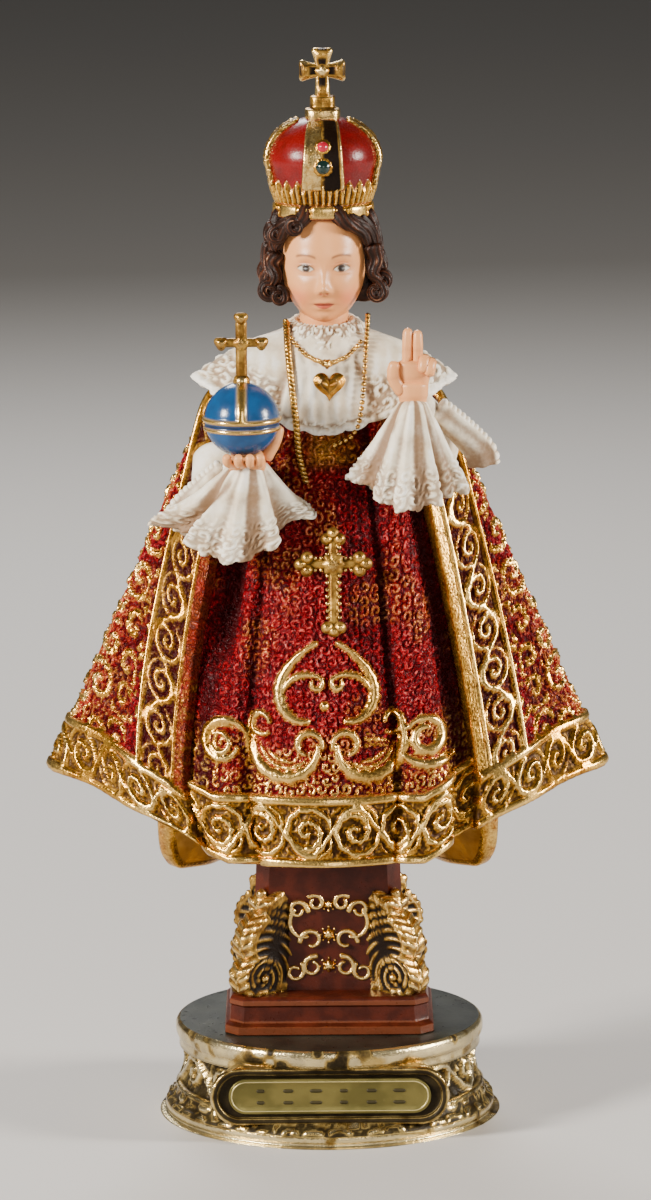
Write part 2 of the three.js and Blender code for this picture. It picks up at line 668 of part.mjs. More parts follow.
// The hand under the orb: a cupped palm and finger tips that come up round it
function orbHand() {
  const under = orbCentre.clone().add(vec(0.8, 0.5, -orbRadius - 0.4));
  const pieces = [ball(under, vec(5, 4.2, 2.4), 8, 5)];
  for (const [x, reach] of [[-1.4, 0.9], [0.6, 1], [2.6, 1], [4.5, 0.85]]) {
    const out = orbRadius * 0.72 * reach;
    pieces.push(rod([
      under.clone().add(vec(x * 0.8, -1.4, -1.2)),
      vec(orbCentre.x + x * 1.1, orbCentre.y - out * 0.8, orbCentre.z - orbRadius * 1.02),
      vec(orbCentre.x + x * 1.15, orbCentre.y - out * 1.12, orbCentre.z - orbRadius * 0.72),
    ], () => [fingerRadius, fingerRadius], 5, 3));
  }
  pieces.push(rod([
    under.clone().add(vec(3.4, 0, 0)), vec(orbCentre.x + orbRadius * 0.95, orbCentre.y - 1, orbCentre.z - orbRadius * 0.6),
    vec(orbCentre.x + orbRadius * 1.12, orbCentre.y - 1.6, orbCentre.z + 0.4),
  ], (t) => [lerp(1.5, 1, t), lerp(1.5, 1, t)], 5, 3));
  return pieces;
}

// Heart pendant and pectoral cross on the chest
function jewelSolids() {
  const lobe = heartWidth / 4;
  const heart = new THREE.Shape();
  heart.moveTo(0, -lobe * 2.4);
  heart.quadraticCurveTo(lobe * 2.2, -lobe * 0.6, lobe * 2, lobe * 0.4);
  heart.absarc(lobe, lobe * 0.4, lobe, 0, PI);
  heart.absarc(-lobe, lobe * 0.4, lobe, 0, PI);
  heart.quadraticCurveTo(-lobe * 2.2, -lobe * 0.6, 0, -lobe * 2.4);
  const breast = collarPoint(0, 0.52);
  const pieces = [plaque(heart, 0, 2.2, 0.5).translate([0, breast.y + 0.8, breast.z])];
  const foot = robeFrontAt(1, 57 - pectoralLength, 0);
  pieces.push(buddedCross(pectoralWidth, pectoralLength, pectoralLength * 0.7, 2, 1.6)
    .rotate([12, 0, 0]).translate([1, foot.y + 0.9, foot.z]));
  return pieces;
}

function figurePart() {
  const neck = rod([vec(0, 0.6, collarNeckHeight - 6), vec(0, 0.2, chinHeight + 5)], () => [neckRadius, neckRadius], 8, 1);
  const whole = fuse([
    robeSolid(), ...robeScrolls(), collarSolid(), ruffSolid(), neck, headSolid(), hairSolid(),
    ...sleeveSolids(), ...blessingHand(), ...orbHand(), ...jewelSolids(),
  ]);
  const orbSocket = ball(orbCentre, orbRadius + 0.5 + seatGap, 16, 10);
  const above = new THREE.BoxGeometry(2 * headHeight, 2 * headHeight, headHeight);
  above.translate(0, 0, crownSeat + headHeight / 2);
  return whole.subtract(orbSocket).subtract(solidFrom(above));
}

// The orb: a globe with one raised band round it and one up and over it, and a cross on top
function orbPart() {
  const meridian = 8;
  const bearings = [-90, -60, -32, -meridian, meridian, 32, 60, 90, 120, 148, 180 - meridian, 180 + meridian, 212, 240];
  const falls = [0, 0.1, 0.22, 0.35, 0.42, 0.47, 0.58, 0.64, 0.74, 0.84, 0.92, 1];
  const globe = skin(bearings.length, falls.length - 1, (_, row, column) => {
    const bearing = bearings[Math.round(column)];
    const raised = row === 4 || row === 5 || bearing % 180 === meridian || abs(bearing) === meridian
      || bearing === 180 - meridian;
    const radius = orbRadius + (raised ? bandRelief : 0);
    const fall = PI * falls[row];
    const turn = degToRad(bearing);
    return vec(sin(fall) * sin(turn), -sin(fall) * cos(turn), -cos(fall)).multiplyScalar(radius);
  });
  const cross = buddedCross(orbCrossWidth, orbCrossHeight + 1, (orbCrossHeight + 1) * 0.6, orbCrossBar, orbCrossBar * 0.6)
    .translate([0, 0.8, orbRadius - 1]);
  return fuse([globe, cross, ball(vec(0, 0, orbRadius), vec(1.7, 1.7, 1.1), 6, 4)]);
}

function crownPart() {
  const rimTop = crownBandHeight + crownLeafHeight;
  const profile = [
    [0, 0], [crownRimRadius - 0.5, 0], [crownRimRadius, 0.5], [crownRimRadius, crownBandHeight - 0.4],
    [crownRimRadius - 0.5, crownBandHeight], [crownRimRadius + 0.7, rimTop],
    [lerp(crownRimRadius, crownCapRadius, 0.6), rimTop + 0.6], [crownCapRadius, rimTop + 3.4],
    [crownCapRadius * 0.93, rimTop + 6.1], [crownCapRadius * 0.76, crownDomeHeight - 2.4],
    [crownCapRadius * 0.42, crownDomeHeight - 0.2], [0, crownDomeHeight + 0.2],
  ].map(([x, y]) => new THREE.Vector2(x, y));
  const rows = profile.length - 1;
  const pieces = [skin(2 * crownLeaves, rows, (angle, row, column) => {
    const { x, y } = profile[row];
    const leaf = row === 5 ? 0.7 * (Math.round(column) % 2) : 0;
    return vec((x + leaf) * sin(angle), -(x + leaf) * cos(angle), y);
  })];
  const outline = profile.slice(6, 11);
  for (let i = 0; i < crownArches; i++) {
    const bearing = (2 * PI * i) / crownArches;
    const points = outline.map(({ x, y }) => vec(x * sin(bearing), -x * cos(bearing), y));
    const flat = vec(sin(bearing), -cos(bearing), 0.35);
    pieces.push(rod(points, (t) => [lerp(2.9, 1.4, t), 0.9], 4, 4, flat));
  }
  const stem = [
    [0, crownDomeHeight - 1.4], [3.4, crownDomeHeight - 1.4], [3.4, crownDomeHeight + 1.8],
    [2.9, crownDomeHeight + 2.1], [2.9, crownDomeHeight + 3.6], [1.4, crownDomeHeight + 4], [0, crownDomeHeight + 4],
  ].map(([x, y]) => new THREE.Vector2(x, y));
  const collar = new THREE.LatheGeometry(stem, 8);
  collar.rotateX(PI / 2);
  const crossHeight = crownHeight - crownDomeHeight - 3.6;
  const cross = buddedCross(crownCrossWidth, crossHeight, crossHeight * 0.6, 1.9, 1.5)
    .translate([0, 0.95, crownDomeHeight + 3.6]);
  return fuse([...pieces, solidFrom(collar), cross]);
}

// Paints
const antiqueGold = new THREE.MeshStandardMaterial({ color: 0xb99246, roughness: 0.35, metalness: 0.85 });
const woodBrown = new THREE.MeshStandardMaterial({ color: 0x4f1a0a, roughness: 0.4, metalness: 0 });
const brass = new THREE.MeshStandardMaterial({ color: 0x8f8a48, roughness: 0.4, metalness: 0.7 });
const robeRed = new THREE.MeshStandardMaterial({ color: 0x8e1420, roughness: 0.35, metalness: 0.2 });
const crownRed = new THREE.MeshStandardMaterial({ color: 0xb31217, roughness: 0.3, metalness: 0.2 });
const orbBlue = new THREE.MeshStandardMaterial({ color: 0x1f62a6, roughness: 0.2, metalness: 0.1 });

function named(name, solid, material) {
  const mesh = new THREE.Mesh(geometryFrom(filled(solid)), material);
  mesh.name = name;
  return mesh;
}

const statuette = new THREE.Group();
statuette.add(named('base', basePart(), antiqueGold));

const plate = named('name_plate', platePart(), brass);
plate.position.set(0, -cartoucheFront, cartoucheMiddle);
statuette.add(plate);

const pedestal = new THREE.Group();
pedestal.position.z = baseHeight;
pedestal.add(named('pedestal', pedestalPart(), woodBrown));
statuette.add(pedestal);

const figure = new THREE.Group();
figure.position.z = pedestalHeight;
figure.add(named('figure', figurePart(), robeRed));
const orb = named('orb', orbPart(), orbBlue);
orb.position.copy(orbCentre);
figure.add(orb);
const crown = named('crown', crownPart(), crownRed);
crown.position.z = crownSeat;
figure.add(crown);
pedestal.add(figure);

export default statuette;
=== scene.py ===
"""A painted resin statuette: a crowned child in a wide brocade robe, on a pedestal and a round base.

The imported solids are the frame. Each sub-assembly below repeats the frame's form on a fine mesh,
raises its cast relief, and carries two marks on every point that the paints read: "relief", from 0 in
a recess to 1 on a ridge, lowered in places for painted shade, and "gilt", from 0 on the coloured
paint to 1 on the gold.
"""

from __future__ import annotations

import logging
import math
from dataclasses import dataclass
from enum import Enum
from functools import partial
from typing import Callable, Iterable, Sequence

import bmesh
import bpy
import numpy as np
from mathutils import Matrix, Vector

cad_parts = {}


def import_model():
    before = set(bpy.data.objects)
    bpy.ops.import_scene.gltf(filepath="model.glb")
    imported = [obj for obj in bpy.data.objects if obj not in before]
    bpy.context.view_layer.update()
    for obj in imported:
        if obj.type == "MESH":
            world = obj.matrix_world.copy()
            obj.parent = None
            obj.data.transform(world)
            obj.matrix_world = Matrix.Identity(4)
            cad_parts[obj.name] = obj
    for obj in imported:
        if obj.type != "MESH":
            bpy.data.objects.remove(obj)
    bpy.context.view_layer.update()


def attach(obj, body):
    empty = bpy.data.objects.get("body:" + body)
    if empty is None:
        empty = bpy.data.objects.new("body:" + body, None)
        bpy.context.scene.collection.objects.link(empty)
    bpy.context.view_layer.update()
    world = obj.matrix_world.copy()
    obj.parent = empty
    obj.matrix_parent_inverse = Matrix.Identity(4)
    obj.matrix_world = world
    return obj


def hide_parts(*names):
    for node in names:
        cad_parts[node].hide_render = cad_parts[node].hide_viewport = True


LOG = logging.getLogger("statuette")
MM = 0.001
TURN = 2.0 * math.pi
BASE_TOP = 18.5
SEAT = 60.5
NECK = SEAT + 94.0
CHIN = SEAT + 95.2
ORB_CENTRE = (-15.7, -24.0, SEAT + 80.1)
ORB_RADIUS = 7.1

Grid = np.ndarray
Marks = dict[str, Grid]
Woven = tuple[Grid, Marks]
Shape = Callable[[Grid, Grid], Woven]
Pair = Callable[[Grid], tuple[Grid, Grid]]
Triple = tuple[float, float, float]
Table = tuple[tuple[float, ...], ...]
Piece = bpy.types.Object


# Numbers on grids


def held(value: Grid) -> Grid:
    """A value kept between 0 and 1."""
    return np.clip(value, 0.0, 1.0)


def step(value: Grid, low: Grid | float, high: Grid | float) -> Grid:
    """Smooth rise from 0 at low to 1 at high.

    Args:
        value: What rises.
        low: Value below which the result is 0.
        high: Value above which the result is 1.

    Returns:
        A grid of shares from 0 to 1.
    """
    share = held((value - low) / (high - low))
    return share * share * (3.0 - 2.0 * share)


def fade(value: Grid, low: Grid | float, high: Grid | float) -> Grid:
    """Smooth fall from 1 at low to 0 at high."""
    return 1.0 - step(value, low, high)


def within(value: Grid, start: float, full: float, ease: Grid | float, end: Grid | float) -> Grid:
    """1 from full to ease, with a smooth rise from start and a smooth fall to end."""
    return step(value, start, full) * fade(value, ease, end)


def peak(value: Grid, middle: float, half: float, exponent: int = 2) -> Grid:
    """1 at middle, and about a third at half away on either side."""
    return np.exp(-((value - middle) / half) ** exponent)


def between(start: Grid, end: Grid, share: Grid) -> Grid:
    """Straight mix of two values, start at share 0 and end at share 1."""
    return start + (end - start) * share


def power(base: Grid, exponent: float) -> Grid:
    """Base to a power, with the base's sign kept."""
    return np.sign(base) * np.abs(base) ** exponent


def placed(x: Grid, y: Grid, z: Grid) -> Grid:
    """Points, or directions, from their three parts."""
    return np.stack([x, y, z], axis=-1)


def angle_at(share: Grid) -> Grid:
    """Angle round a ring whose seam is at the back: 0 at the front, and rising to the viewer's right."""
    return (share - 0.5) * TURN


def around(turn: Grid, reach: Grid, height: Grid, flat: float = 1.0) -> Grid:
    """Points round the vertical at an angle, a reach and a height, with the depth times flat."""
    return placed(reach * np.sin(turn), -reach * flat * np.cos(turn), height)


def traced(curve: Sequence[Sequence[float]], share: Grid) -> list[Grid]:
    """Each column of an even curve, read at a share of the way along it.

    Args:
        curve: Its points, each a row.
        share: Where it is read, from 0 to 1.

    Returns:
        A grid for each column.
    """
    table = np.array(curve)
    knots = np.linspace(0.0, 1.0, len(table))
    return [np.interp(share, knots, column) for column in table.T]


def across(points: Grid, ring: bool) -> Grid:
    """Change of the points along each row.

    Args:
        points: Grid of points, rows by columns by 3.
        ring: Whether the last column lies on the first one.

    Returns:
        The change for one column, as a grid of vectors.
    """
    if not ring:
        return np.gradient(points, axis=1)
    inner = points[:, :-1]
    change = (np.roll(inner, -1, axis=1) - np.roll(inner, 1, axis=1)) / 2.0
    return np.concatenate([change, change[:, :1]], axis=1)


def outward(points: Grid, ring: bool) -> Grid:
    """Unit normals of a grid of points whose rows run anticlockwise seen from outside."""
    normal = np.cross(across(points, ring), np.gradient(points, axis=0))
    return normal / np.maximum(np.linalg.norm(normal, axis=2, keepdims=True), 1e-9)


def raised(points: Grid, height: Grid, ring: bool = False) -> Grid:
    """The points moved out along their normals by height, in millimetres."""
    return points + outward(points, ring) * height[..., None]


def run_along(points: Grid, axis: int) -> Grid:
    """Distance run along one axis of a grid of points, from that axis's start.

    Args:
        points: The grid of points.
        axis: The axis that is followed.

    Returns:
        The distance at every point.
    """
    length = np.linalg.norm(np.diff(points, axis=axis), axis=2)
    shape = list(length.shape)
    shape[axis] = 1
    return np.concatenate([np.zeros(shape), np.cumsum(length, axis=axis)], axis=axis)


# Cast relief patterns


def hashed(column: Grid, row: Grid, seed: float) -> Grid:
    """A fixed number from 0 to 1 for each cell of a plane."""
    value = np.sin(column * 127.1 + row * 311.7 + seed * 74.7) * 43758.5453
    return value - np.floor(value)


def clouds(x: Grid, y: Grid, size: float, seed: float = 0.0) -> Grid:
    """Smooth uneven field from 0 to 1.

    Args:
        x: Place across, in millimetres.
        y: Place up, in millimetres.
        size: Width of one cloud, in millimetres.
        seed: Number that picks the pattern.

    Returns:
        A grid of values from 0 to 1.
    """
    column, row = np.floor(x / size), np.floor(y / size)
    part_x, part_y = x / size - column, y / size - row
    ease_x = part_x * part_x * (3.0 - 2.0 * part_x)
    ease_y = part_y * part_y * (3.0 - 2.0 * part_y)
    low = between(hashed(column, row, seed), hashed(column + 1, row, seed), ease_x)
    high = between(hashed(column, row + 1, seed), hashed(column + 1, row + 1, seed), ease_x)
    return between(low, high, ease_y)


@dataclass(frozen=True)
class Curls:
    """Small curling scrolls packed side by side, as cast brocade and lace have."""

    cell: float
    pitch: float
    seed: float = 1.0
    sharp: float = 0.15

    def height(self, x: Grid, y: Grid) -> Grid:
        """Height of the curls. Each point belongs to its nearest curl.

        Args:
            x: Distance across the field.
            y: Distance up it.

        Returns:
            From 0 in a groove to 1 on a ridge.
        """
        column, row = np.floor(x / self.cell), np.floor(y / self.cell)
        ridge = np.zeros_like(x)
        near = np.full(x.shape, 1e3)
        second = np.full(x.shape, 1e3)
        for side in (-1, 0, 1):
            for rise in (-1, 0, 1):
                radius, arm = self._curl(x, y, column + side, row + rise)
                closer = radius < near
                second = np.where(closer, near, np.minimum(second, radius))
                ridge = np.where(closer, arm, ridge)
                near = np.where(closer, radius, near)
        return ridge * step(second - near, 0.0, 0.16 * self.cell)

    def _curl(self, x: Grid, y: Grid, column: Grid, row: Grid) -> tuple[Grid, Grid]:
        """One cell's curl.

        Args:
            x: Distance across the field.
            y: Distance up it.
            column: The cell's column.
            row: The cell's row.

        Returns:
            Distance from the curl's centre, and the curl's height.
        """
        first = hashed(column, row, self.seed)
        second = hashed(column, row, self.seed + 3.0)
        third = hashed(column, row, self.seed + 7.0)
        along = x - (column + 0.5 + 0.6 * (first - 0.5)) * self.cell
        up = y - (row + 0.5 + 0.6 * (second - 0.5)) * self.cell
        hand = np.where(third > 0.5, 1.0, -1.0)
        radius = np.hypot(along, up)
        bearing = np.arctan2(up, along) * hand
        arm = np.cos(TURN * (radius / self.pitch + first) - bearing)
        return radius, step(arm, -self.sharp, 0.7)


@dataclass(frozen=True)
class Band:
    """A border with plain rails and a running scroll of spirals between them."""

    width: float
    pitch: float
    rail: float = 1.3

    def height(self, along: Grid, up: Grid) -> Grid:
        """Height of the border's relief.

        Args:
            along: Distance along the border.
            up: Distance across it, from 0 to its width.

        Returns:
            From 0 on the ground to 1 on a ridge.
        """
        index = np.floor(along / self.pitch)
        flip = np.where(index % 2 == 0, 1.0, -1.0)
        x = (along / self.pitch - index - 0.5) * self.pitch
        y = (up - self.width / 2.0) * flip
        radius = np.hypot(x, y)
        coil = self.pitch * 0.27
        bearing = np.arctan2(y, x)
        serration = 0.3 * np.cos(9.0 * bearing + 2.0 * radius)
        arm = np.cos(TURN * (radius / coil) - bearing) + serration
        spiral = step(arm, -0.1, 0.6) * fade(radius, self.width * 0.36, self.width * 0.46)
        wave = np.abs(y - self.width * 0.34 * np.cos(math.pi * x / self.pitch))
        leaf = fade(wave + 0.6 * serration, 0.45, 0.95)
        filler = 0.3 * Curls(2.0, 1.25, 5.0, -0.1).height(along, up)
        inside = within(up, self.rail, self.rail + 0.4, self.width - self.rail - 0.4,
            self.width - self.rail)
        rails = 1.0 - inside
        return np.maximum(np.maximum(np.maximum(spiral, leaf), filler) * inside, rails)

    def inside(self, up: Grid) -> Grid:
        """1 within the border and 0 outside it."""
        return within(up, -0.2, 0.1, self.width - 0.1, self.width + 0.2)


@dataclass(frozen=True)
class Scroll:
    """One raised C-scroll, which winds inwards from a drawn-out start, with a leaf inside its bend."""

    x: float
    z: float
    size: float
    side: float
    start: float = 107.0
    sweep: float = 300.0
    tail: float = 0.0
    girth: float = 0.9
    leafy: float = 0.0

    def points(self, steps: int = 28) -> Grid:
        """Points along the scroll's middle line.

        Args:
            steps: Pieces that the line is cut into.

        Returns:
            steps + 1 pairs of x and z.
        """
        turned = np.linspace(0.0, math.radians(self.sweep), steps + 1)
        radius = self.size * (1.0 - 0.07 * turned) + self.tail * np.exp(-turned / 0.6)
        angle = math.radians(self.start) - turned
        return np.stack([self.x + self.side * radius * np.cos(angle), self.z + radius * np.sin(angle)],
            axis=1)

    def height(self, x: Grid, z: Grid) -> Grid:
        """Height of the scroll's lobed ridge and of the veined leaf inside it.

        Args:
            x: Place across.
            z: Place upwards.

        Returns:
            From 0 on the ground to 1 on the ridge.
        """
        line = self.points()
        count = len(line) - 1
        reach = self.size + self.tail + 4.0
        zone = (np.abs(x - self.x) < reach) & (np.abs(z - self.z) < reach)
        px, pz = x[zone], z[zone]
        closest, inward, place = np.full(px.shape, 1e3), np.zeros(px.shape), np.zeros(px.shape)
        for index in range(count):
            (ax, az), (bx, bz) = line[index], line[index + 1]
            dx, dz = bx - ax, bz - az
            share = held(((px - ax) * dx + (pz - az) * dz) / (dx * dx + dz * dz))
            swell = 0.5 + 0.7 * math.sin(math.pi * (index + 0.5) / count)
            gap = np.hypot(px - ax - share * dx, pz - az - share * dz) / swell
            closer = gap < closest
            closest = np.where(closer, gap, closest)
            place = np.where(closer, index + share, place)
            turned = self.side * (dz * (px - ax) - dx * (pz - az)) / math.hypot(dx, dz)
            inward = np.where(closer, turned, inward)
        lobes = np.cos(place * 2.2)
        ridge = np.sqrt(held(1.0 - (closest / (self.girth * (1.0 + 0.12 * lobes))) ** 2))
        share = place / count
        belly = np.sin(math.pi * held((share - 0.08) / 0.8))
        bound = 0.4 + 3.6 * belly * (0.88 + 0.12 * np.abs(np.sin(place * 0.9)))
        leaf = within(inward, 0.3, 0.5, bound - 0.3, bound) * step(belly, 0.1, 0.3)
        veins = step(np.cos(TURN * (inward / 1.25 + 0.9 * share)), -0.2, 0.5)
        height = np.zeros(x.shape)
        height[zone] = np.maximum(ridge, self.leafy * leaf * (0.16 + 0.6 * veins))
        return height


# Meshes


def weave(name: str, columns: int, rows: int, shape: Shape, ring: bool = False) -> Piece:
    """A fine mesh whose points are placed by a function of two shares.

    Args:
        name: The piece's name.
        columns: Faces along the first share.
        rows: Faces along the second share.
        shape: Gives the points in millimetres, and marks, for grids of the two shares.
        ring: Whether the last column closes on the first one.

    Returns:
        The new object, in metres, with the marks as point attributes.
    """
    bm = bmesh.new()
    bmesh.ops.create_grid(bm, x_segments=columns, y_segments=rows, size=0.5)
    mesh = bpy.data.meshes.new(name)
    bm.to_mesh(mesh)
    bm.free()
    flat = np.empty(len(mesh.vertices) * 3, dtype=np.float32)
    mesh.vertices.foreach_get("co", flat)
    flat = flat.reshape(-1, 3)
    across_index = np.rint((flat[:, 0] + 0.5) * columns).astype(int)
    up_index = np.rint((flat[:, 1] + 0.5) * rows).astype(int)
    first, second = np.meshgrid(np.linspace(0.0, 1.0, columns + 1), np.linspace(0.0, 1.0, rows + 1))
    points, marks = shape(first, second)
    mesh.vertices.foreach_set("co", (points[up_index, across_index] * MM).astype(np.float32).ravel())
    for key, values in marks.items():
        if values.ndim == 3:
            colour = mesh.attributes.new(key, "FLOAT_COLOR", "POINT")
            opaque = np.concatenate([values, np.ones(values.shape[:2] + (1,))], axis=2)
            colour.data.foreach_set("color", opaque[up_index, across_index].astype(np.float32).ravel())
        else:
            mark = mesh.attributes.new(key, "FLOAT", "POINT")
            mark.data.foreach_set("value", values[up_index, across_index].astype(np.float32))
    if ring:
        close_seams(mesh)
    mesh.shade_smooth()
    return bpy.data.objects.new(name, mesh)


def close_seams(mesh: bpy.types.Mesh, distance: float = 2e-6) -> None:
    """Merges the points of a mesh that lie on each other, at seams and poles.

    Args:
        mesh: The mesh, changed in place.
        distance: How near two points have to be, in metres.
    """
    bm = bmesh.new()
    bm.from_mesh(mesh)
    bmesh.ops.remove_doubles(bm, verts=bm.verts, dist=distance)
    bmesh.ops.dissolve_degenerate(bm, edges=bm.edges, dist=distance / 2.0)
    bm.to_mesh(mesh)
    bm.free()


def smooth_path(points: Sequence[Sequence[float]], steps: int) -> Grid:
    """Even points on a smooth curve through a few given ones.

    Args:
        points: Points that the curve passes through.
        steps: Number of equal stretches.

    Returns:
        steps + 1 points.
    """
    knots = np.array(points, dtype=float)
    padded = np.vstack([2 * knots[0] - knots[1], knots, 2 * knots[-1] - knots[-2]])
    fine = []
    for index in range(len(knots) - 1):
        p0, p1, p2, p3 = padded[index:index + 4]
        t = np.linspace(0.0, 1.0, 16, endpoint=False)[:, None]
        bend = (2 * p1 + (p2 - p0) * t + (2 * p0 - 5 * p1 + 4 * p2 - p3) * t ** 2
            + (3 * p1 - p0 - 3 * p2 + p3) * t ** 3)
        fine.append(0.5 * bend)
    fine.append(knots[-1:])
    line = np.vstack(fine)
    run = np.concatenate([[0.0], np.cumsum(np.linalg.norm(np.diff(line, axis=0), axis=1))])
    even = np.linspace(0.0, run[-1], steps + 1)
    return np.stack([np.interp(even, run, line[:, axis]) for axis in range(line.shape[1])], axis=1)


def rod(
    name: str,
    points: Sequence[Sequence[float]],
    girth: Pair,
    sides: int = 16,
    steps: int = 40,
    flat: Sequence[float] = (0.0, 1.0, 0.0),
    relief: Shape | None = None,
) -> Piece:
    """A tapering rod with round ends along a smooth curve.

    Args:
        name: The piece's name.
        points: Points that its middle passes through, in millimetres.
        girth: Half width and half thickness at a share of the length.
        sides: Faces round it.
        steps: Faces along it.
        flat: Direction that its flat side faces.
        relief: Height in millimetres and marks at a share round and a share along.

    Returns:
        The rod, closed at both ends.
    """
    line = smooth_path(points, steps)
    along = np.gradient(line, axis=0)
    along /= np.maximum(np.linalg.norm(along, axis=1, keepdims=True), 1e-9)
    side = np.cross(np.array(flat, dtype=float), along)
    side /= np.maximum(np.linalg.norm(side, axis=1, keepdims=True), 1e-9)
    top = np.cross(along, side)

    def shape(u: Grid, v: Grid) -> Woven:
        """The rod's surface, rounded off at both ends.

        Args:
            u: Share of the way round.
            v: Share of the length.

        Returns:
            Points in millimetres and their marks.
        """
        width, thickness = girth(v)
        end = np.minimum(v, 1.0 - v) * steps / 3.0
        closing = np.sqrt(held(1.0 - (1.0 - held(end)) ** 2))
        angle = TURN * u
        middle = np.repeat(line[:, None, :], u.shape[1], axis=1)
        points_out = (middle + side[:, None, :] * (width * closing * np.sin(angle))[..., None]
            - top[:, None, :] * (thickness * closing * np.cos(angle))[..., None])
        marks: Marks = {"relief": np.ones_like(u)}
        if relief is not None:
            height, extra = relief(u, v)
            marks.update(extra)
            points_out = raised(points_out, height * closing, ring=True)
        return points_out, marks

    return weave(name, sides, steps, shape, ring=True)


def joined(name: str, parts: Iterable[Piece]) -> Piece:
    """One object from several, which are used up.

    Args:
        name: The object's name.
        parts: The objects, the first of which stays.

    Returns:
        That object.
    """
    parts = list(parts)
    for part in parts:
        if part.name not in bpy.context.scene.collection.objects:
            bpy.context.scene.collection.objects.link(part)
    with bpy.context.temp_override(active_object=parts[0], selected_editable_objects=parts,
                                   selected_objects=parts, object=parts[0]):
        bpy.ops.object.join()
    parts[0].name = name
    parts[0].data.name = name
    return parts[0]


def studded(name: str, places: Iterable[Sequence[float]], radius: float) -> Piece:
    """Small round beads as one mesh.

    Args:
        name: The piece's name.
        places: Their centres, in millimetres.
        radius: Their radius.

    Returns:
        The beads.
    """
    bm = bmesh.new()
    for place in places:
        bmesh.ops.create_icosphere(bm, subdivisions=1, radius=radius * MM,
            matrix=Matrix.Translation(Vector(place) * MM))
    mesh = bpy.data.meshes.new(name)
    bm.to_mesh(mesh)
    bm.free()
    mark = mesh.attributes.new("relief", "FLOAT", "POINT")
    mark.data.foreach_set("value", np.full(len(mesh.vertices), 0.8, dtype=np.float32))
    mesh.shade_smooth()
    return bpy.data.objects.new(name, mesh)


# Paints


class Wire:
    """One value in a paint's nodes. Arithmetic on it adds Math nodes."""

    def __init__(self, mixer: "Mixer", socket: bpy.types.NodeSocket) -> None:
        """Wraps a socket of the mixer's node tree."""
        self.mixer = mixer
        self.socket = socket

    def math(self, operation: str, *values: "Wire | float") -> "Wire":
        """The result of a Math node on values."""
        return self.mixer.node("ShaderNodeMath", {"operation": operation}, dict(enumerate(values)))

    def __add__(self, other: "Wire | float") -> "Wire":
        """Sum."""
        return self.math("ADD", self, other)

    def __sub__(self, other: "Wire | float") -> "Wire":
        """Difference."""
        return self.math("SUBTRACT", self, other)

    def __rsub__(self, other: float) -> "Wire":
        """Difference, number first."""
        return self.math("SUBTRACT", other, self)

    def __mul__(self, other: "Wire | float") -> "Wire":
        """Product."""
        return self.math("MULTIPLY", self, other)

    __radd__ = __add__
    __rmul__ = __mul__

    def rise(self, low: float, high: float) -> "Wire":
        """Smooth rise from 0 at low to 1 at high."""
        return self.mixer.node("ShaderNodeMapRange", {"interpolation_type": "SMOOTHSTEP"},
            {"Value": self, "From Min": low, "From Max": high})


class Mixer:
    """Builds the nodes of one paint."""

    def __init__(self, name: str) -> None:
        """Starts a new material whose tree holds a shader and an output.

        Args:
            name: The material's name.
        """
        self.material = bpy.data.materials.new(name)
        self.material.use_nodes = True
        self.tree = self.material.node_tree
        self.shader = self.tree.nodes["Principled BSDF"]
        self.place = self.node("ShaderNodeTexCoord", {}, {}, "Object")

    def node(self, kind: str, settings: dict[str, object], values: dict[str | int, object],
             output: str | int = 0) -> Wire:
        """Adds one node.

        Args:
            kind: The node's type.
            settings: Its own settings, set first.
            values: Values or wires for its sockets.
            output: The socket that the result comes from.

        Returns:
            A wire from that socket.
        """
        made = self.tree.nodes.new(kind)
        for key, value in settings.items():
            setattr(made, key, value)
        for key, value in values.items():
            self.feed(made.inputs[key], value)
        return Wire(self, made.outputs[output])

    def feed(self, socket: bpy.types.NodeSocket, value: object) -> None:
        """Links a wire to a socket, or sets the socket's value.

        Args:
            socket: The socket.
            value: A wire, a number or a colour.
        """
        if isinstance(value, Wire):
            self.tree.links.new(value.socket, socket)
        elif isinstance(value, tuple) and len(value) == 3 and socket.type == "RGBA":
            socket.default_value = (*value, 1.0)
        else:
            socket.default_value = value

    def mix(self, share: Wire | float, low: Wire | Triple, high: Wire | Triple) -> Wire:
        """A colour between low and high."""
        return self.node("ShaderNodeMix", {"data_type": "RGBA"}, {0: share, 6: low, 7: high}, 2)

    def noise(self, size: float, detail: float = 2.0, twist: float = 0.0) -> Wire:
        """Uneven value from 0 to 1 with lumps of a size in millimetres."""
        return self.node("ShaderNodeTexNoise", {},
            {"Vector": self.place, "Scale": 1.0 / (size * MM), "Detail": detail, "Distortion": twist},
            "Fac")

    def mark(self, name: str, output: str = "Fac") -> Wire:
        """An attribute of the mesh."""
        return self.node("ShaderNodeAttribute", {"attribute_name": name}, {}, output)


@dataclass(frozen=True)
class Gold:
    """Gold paint: a bright and a deep tone that wander into each other, and painted highlights on its
    ridges.
    """

    bright: Triple = (0.74, 0.38, 0.05)
    deep: Triple = (0.26, 0.10, 0.010)
    shine: Triple = (1.0, 0.72, 0.24)
    metal: float = 0.95


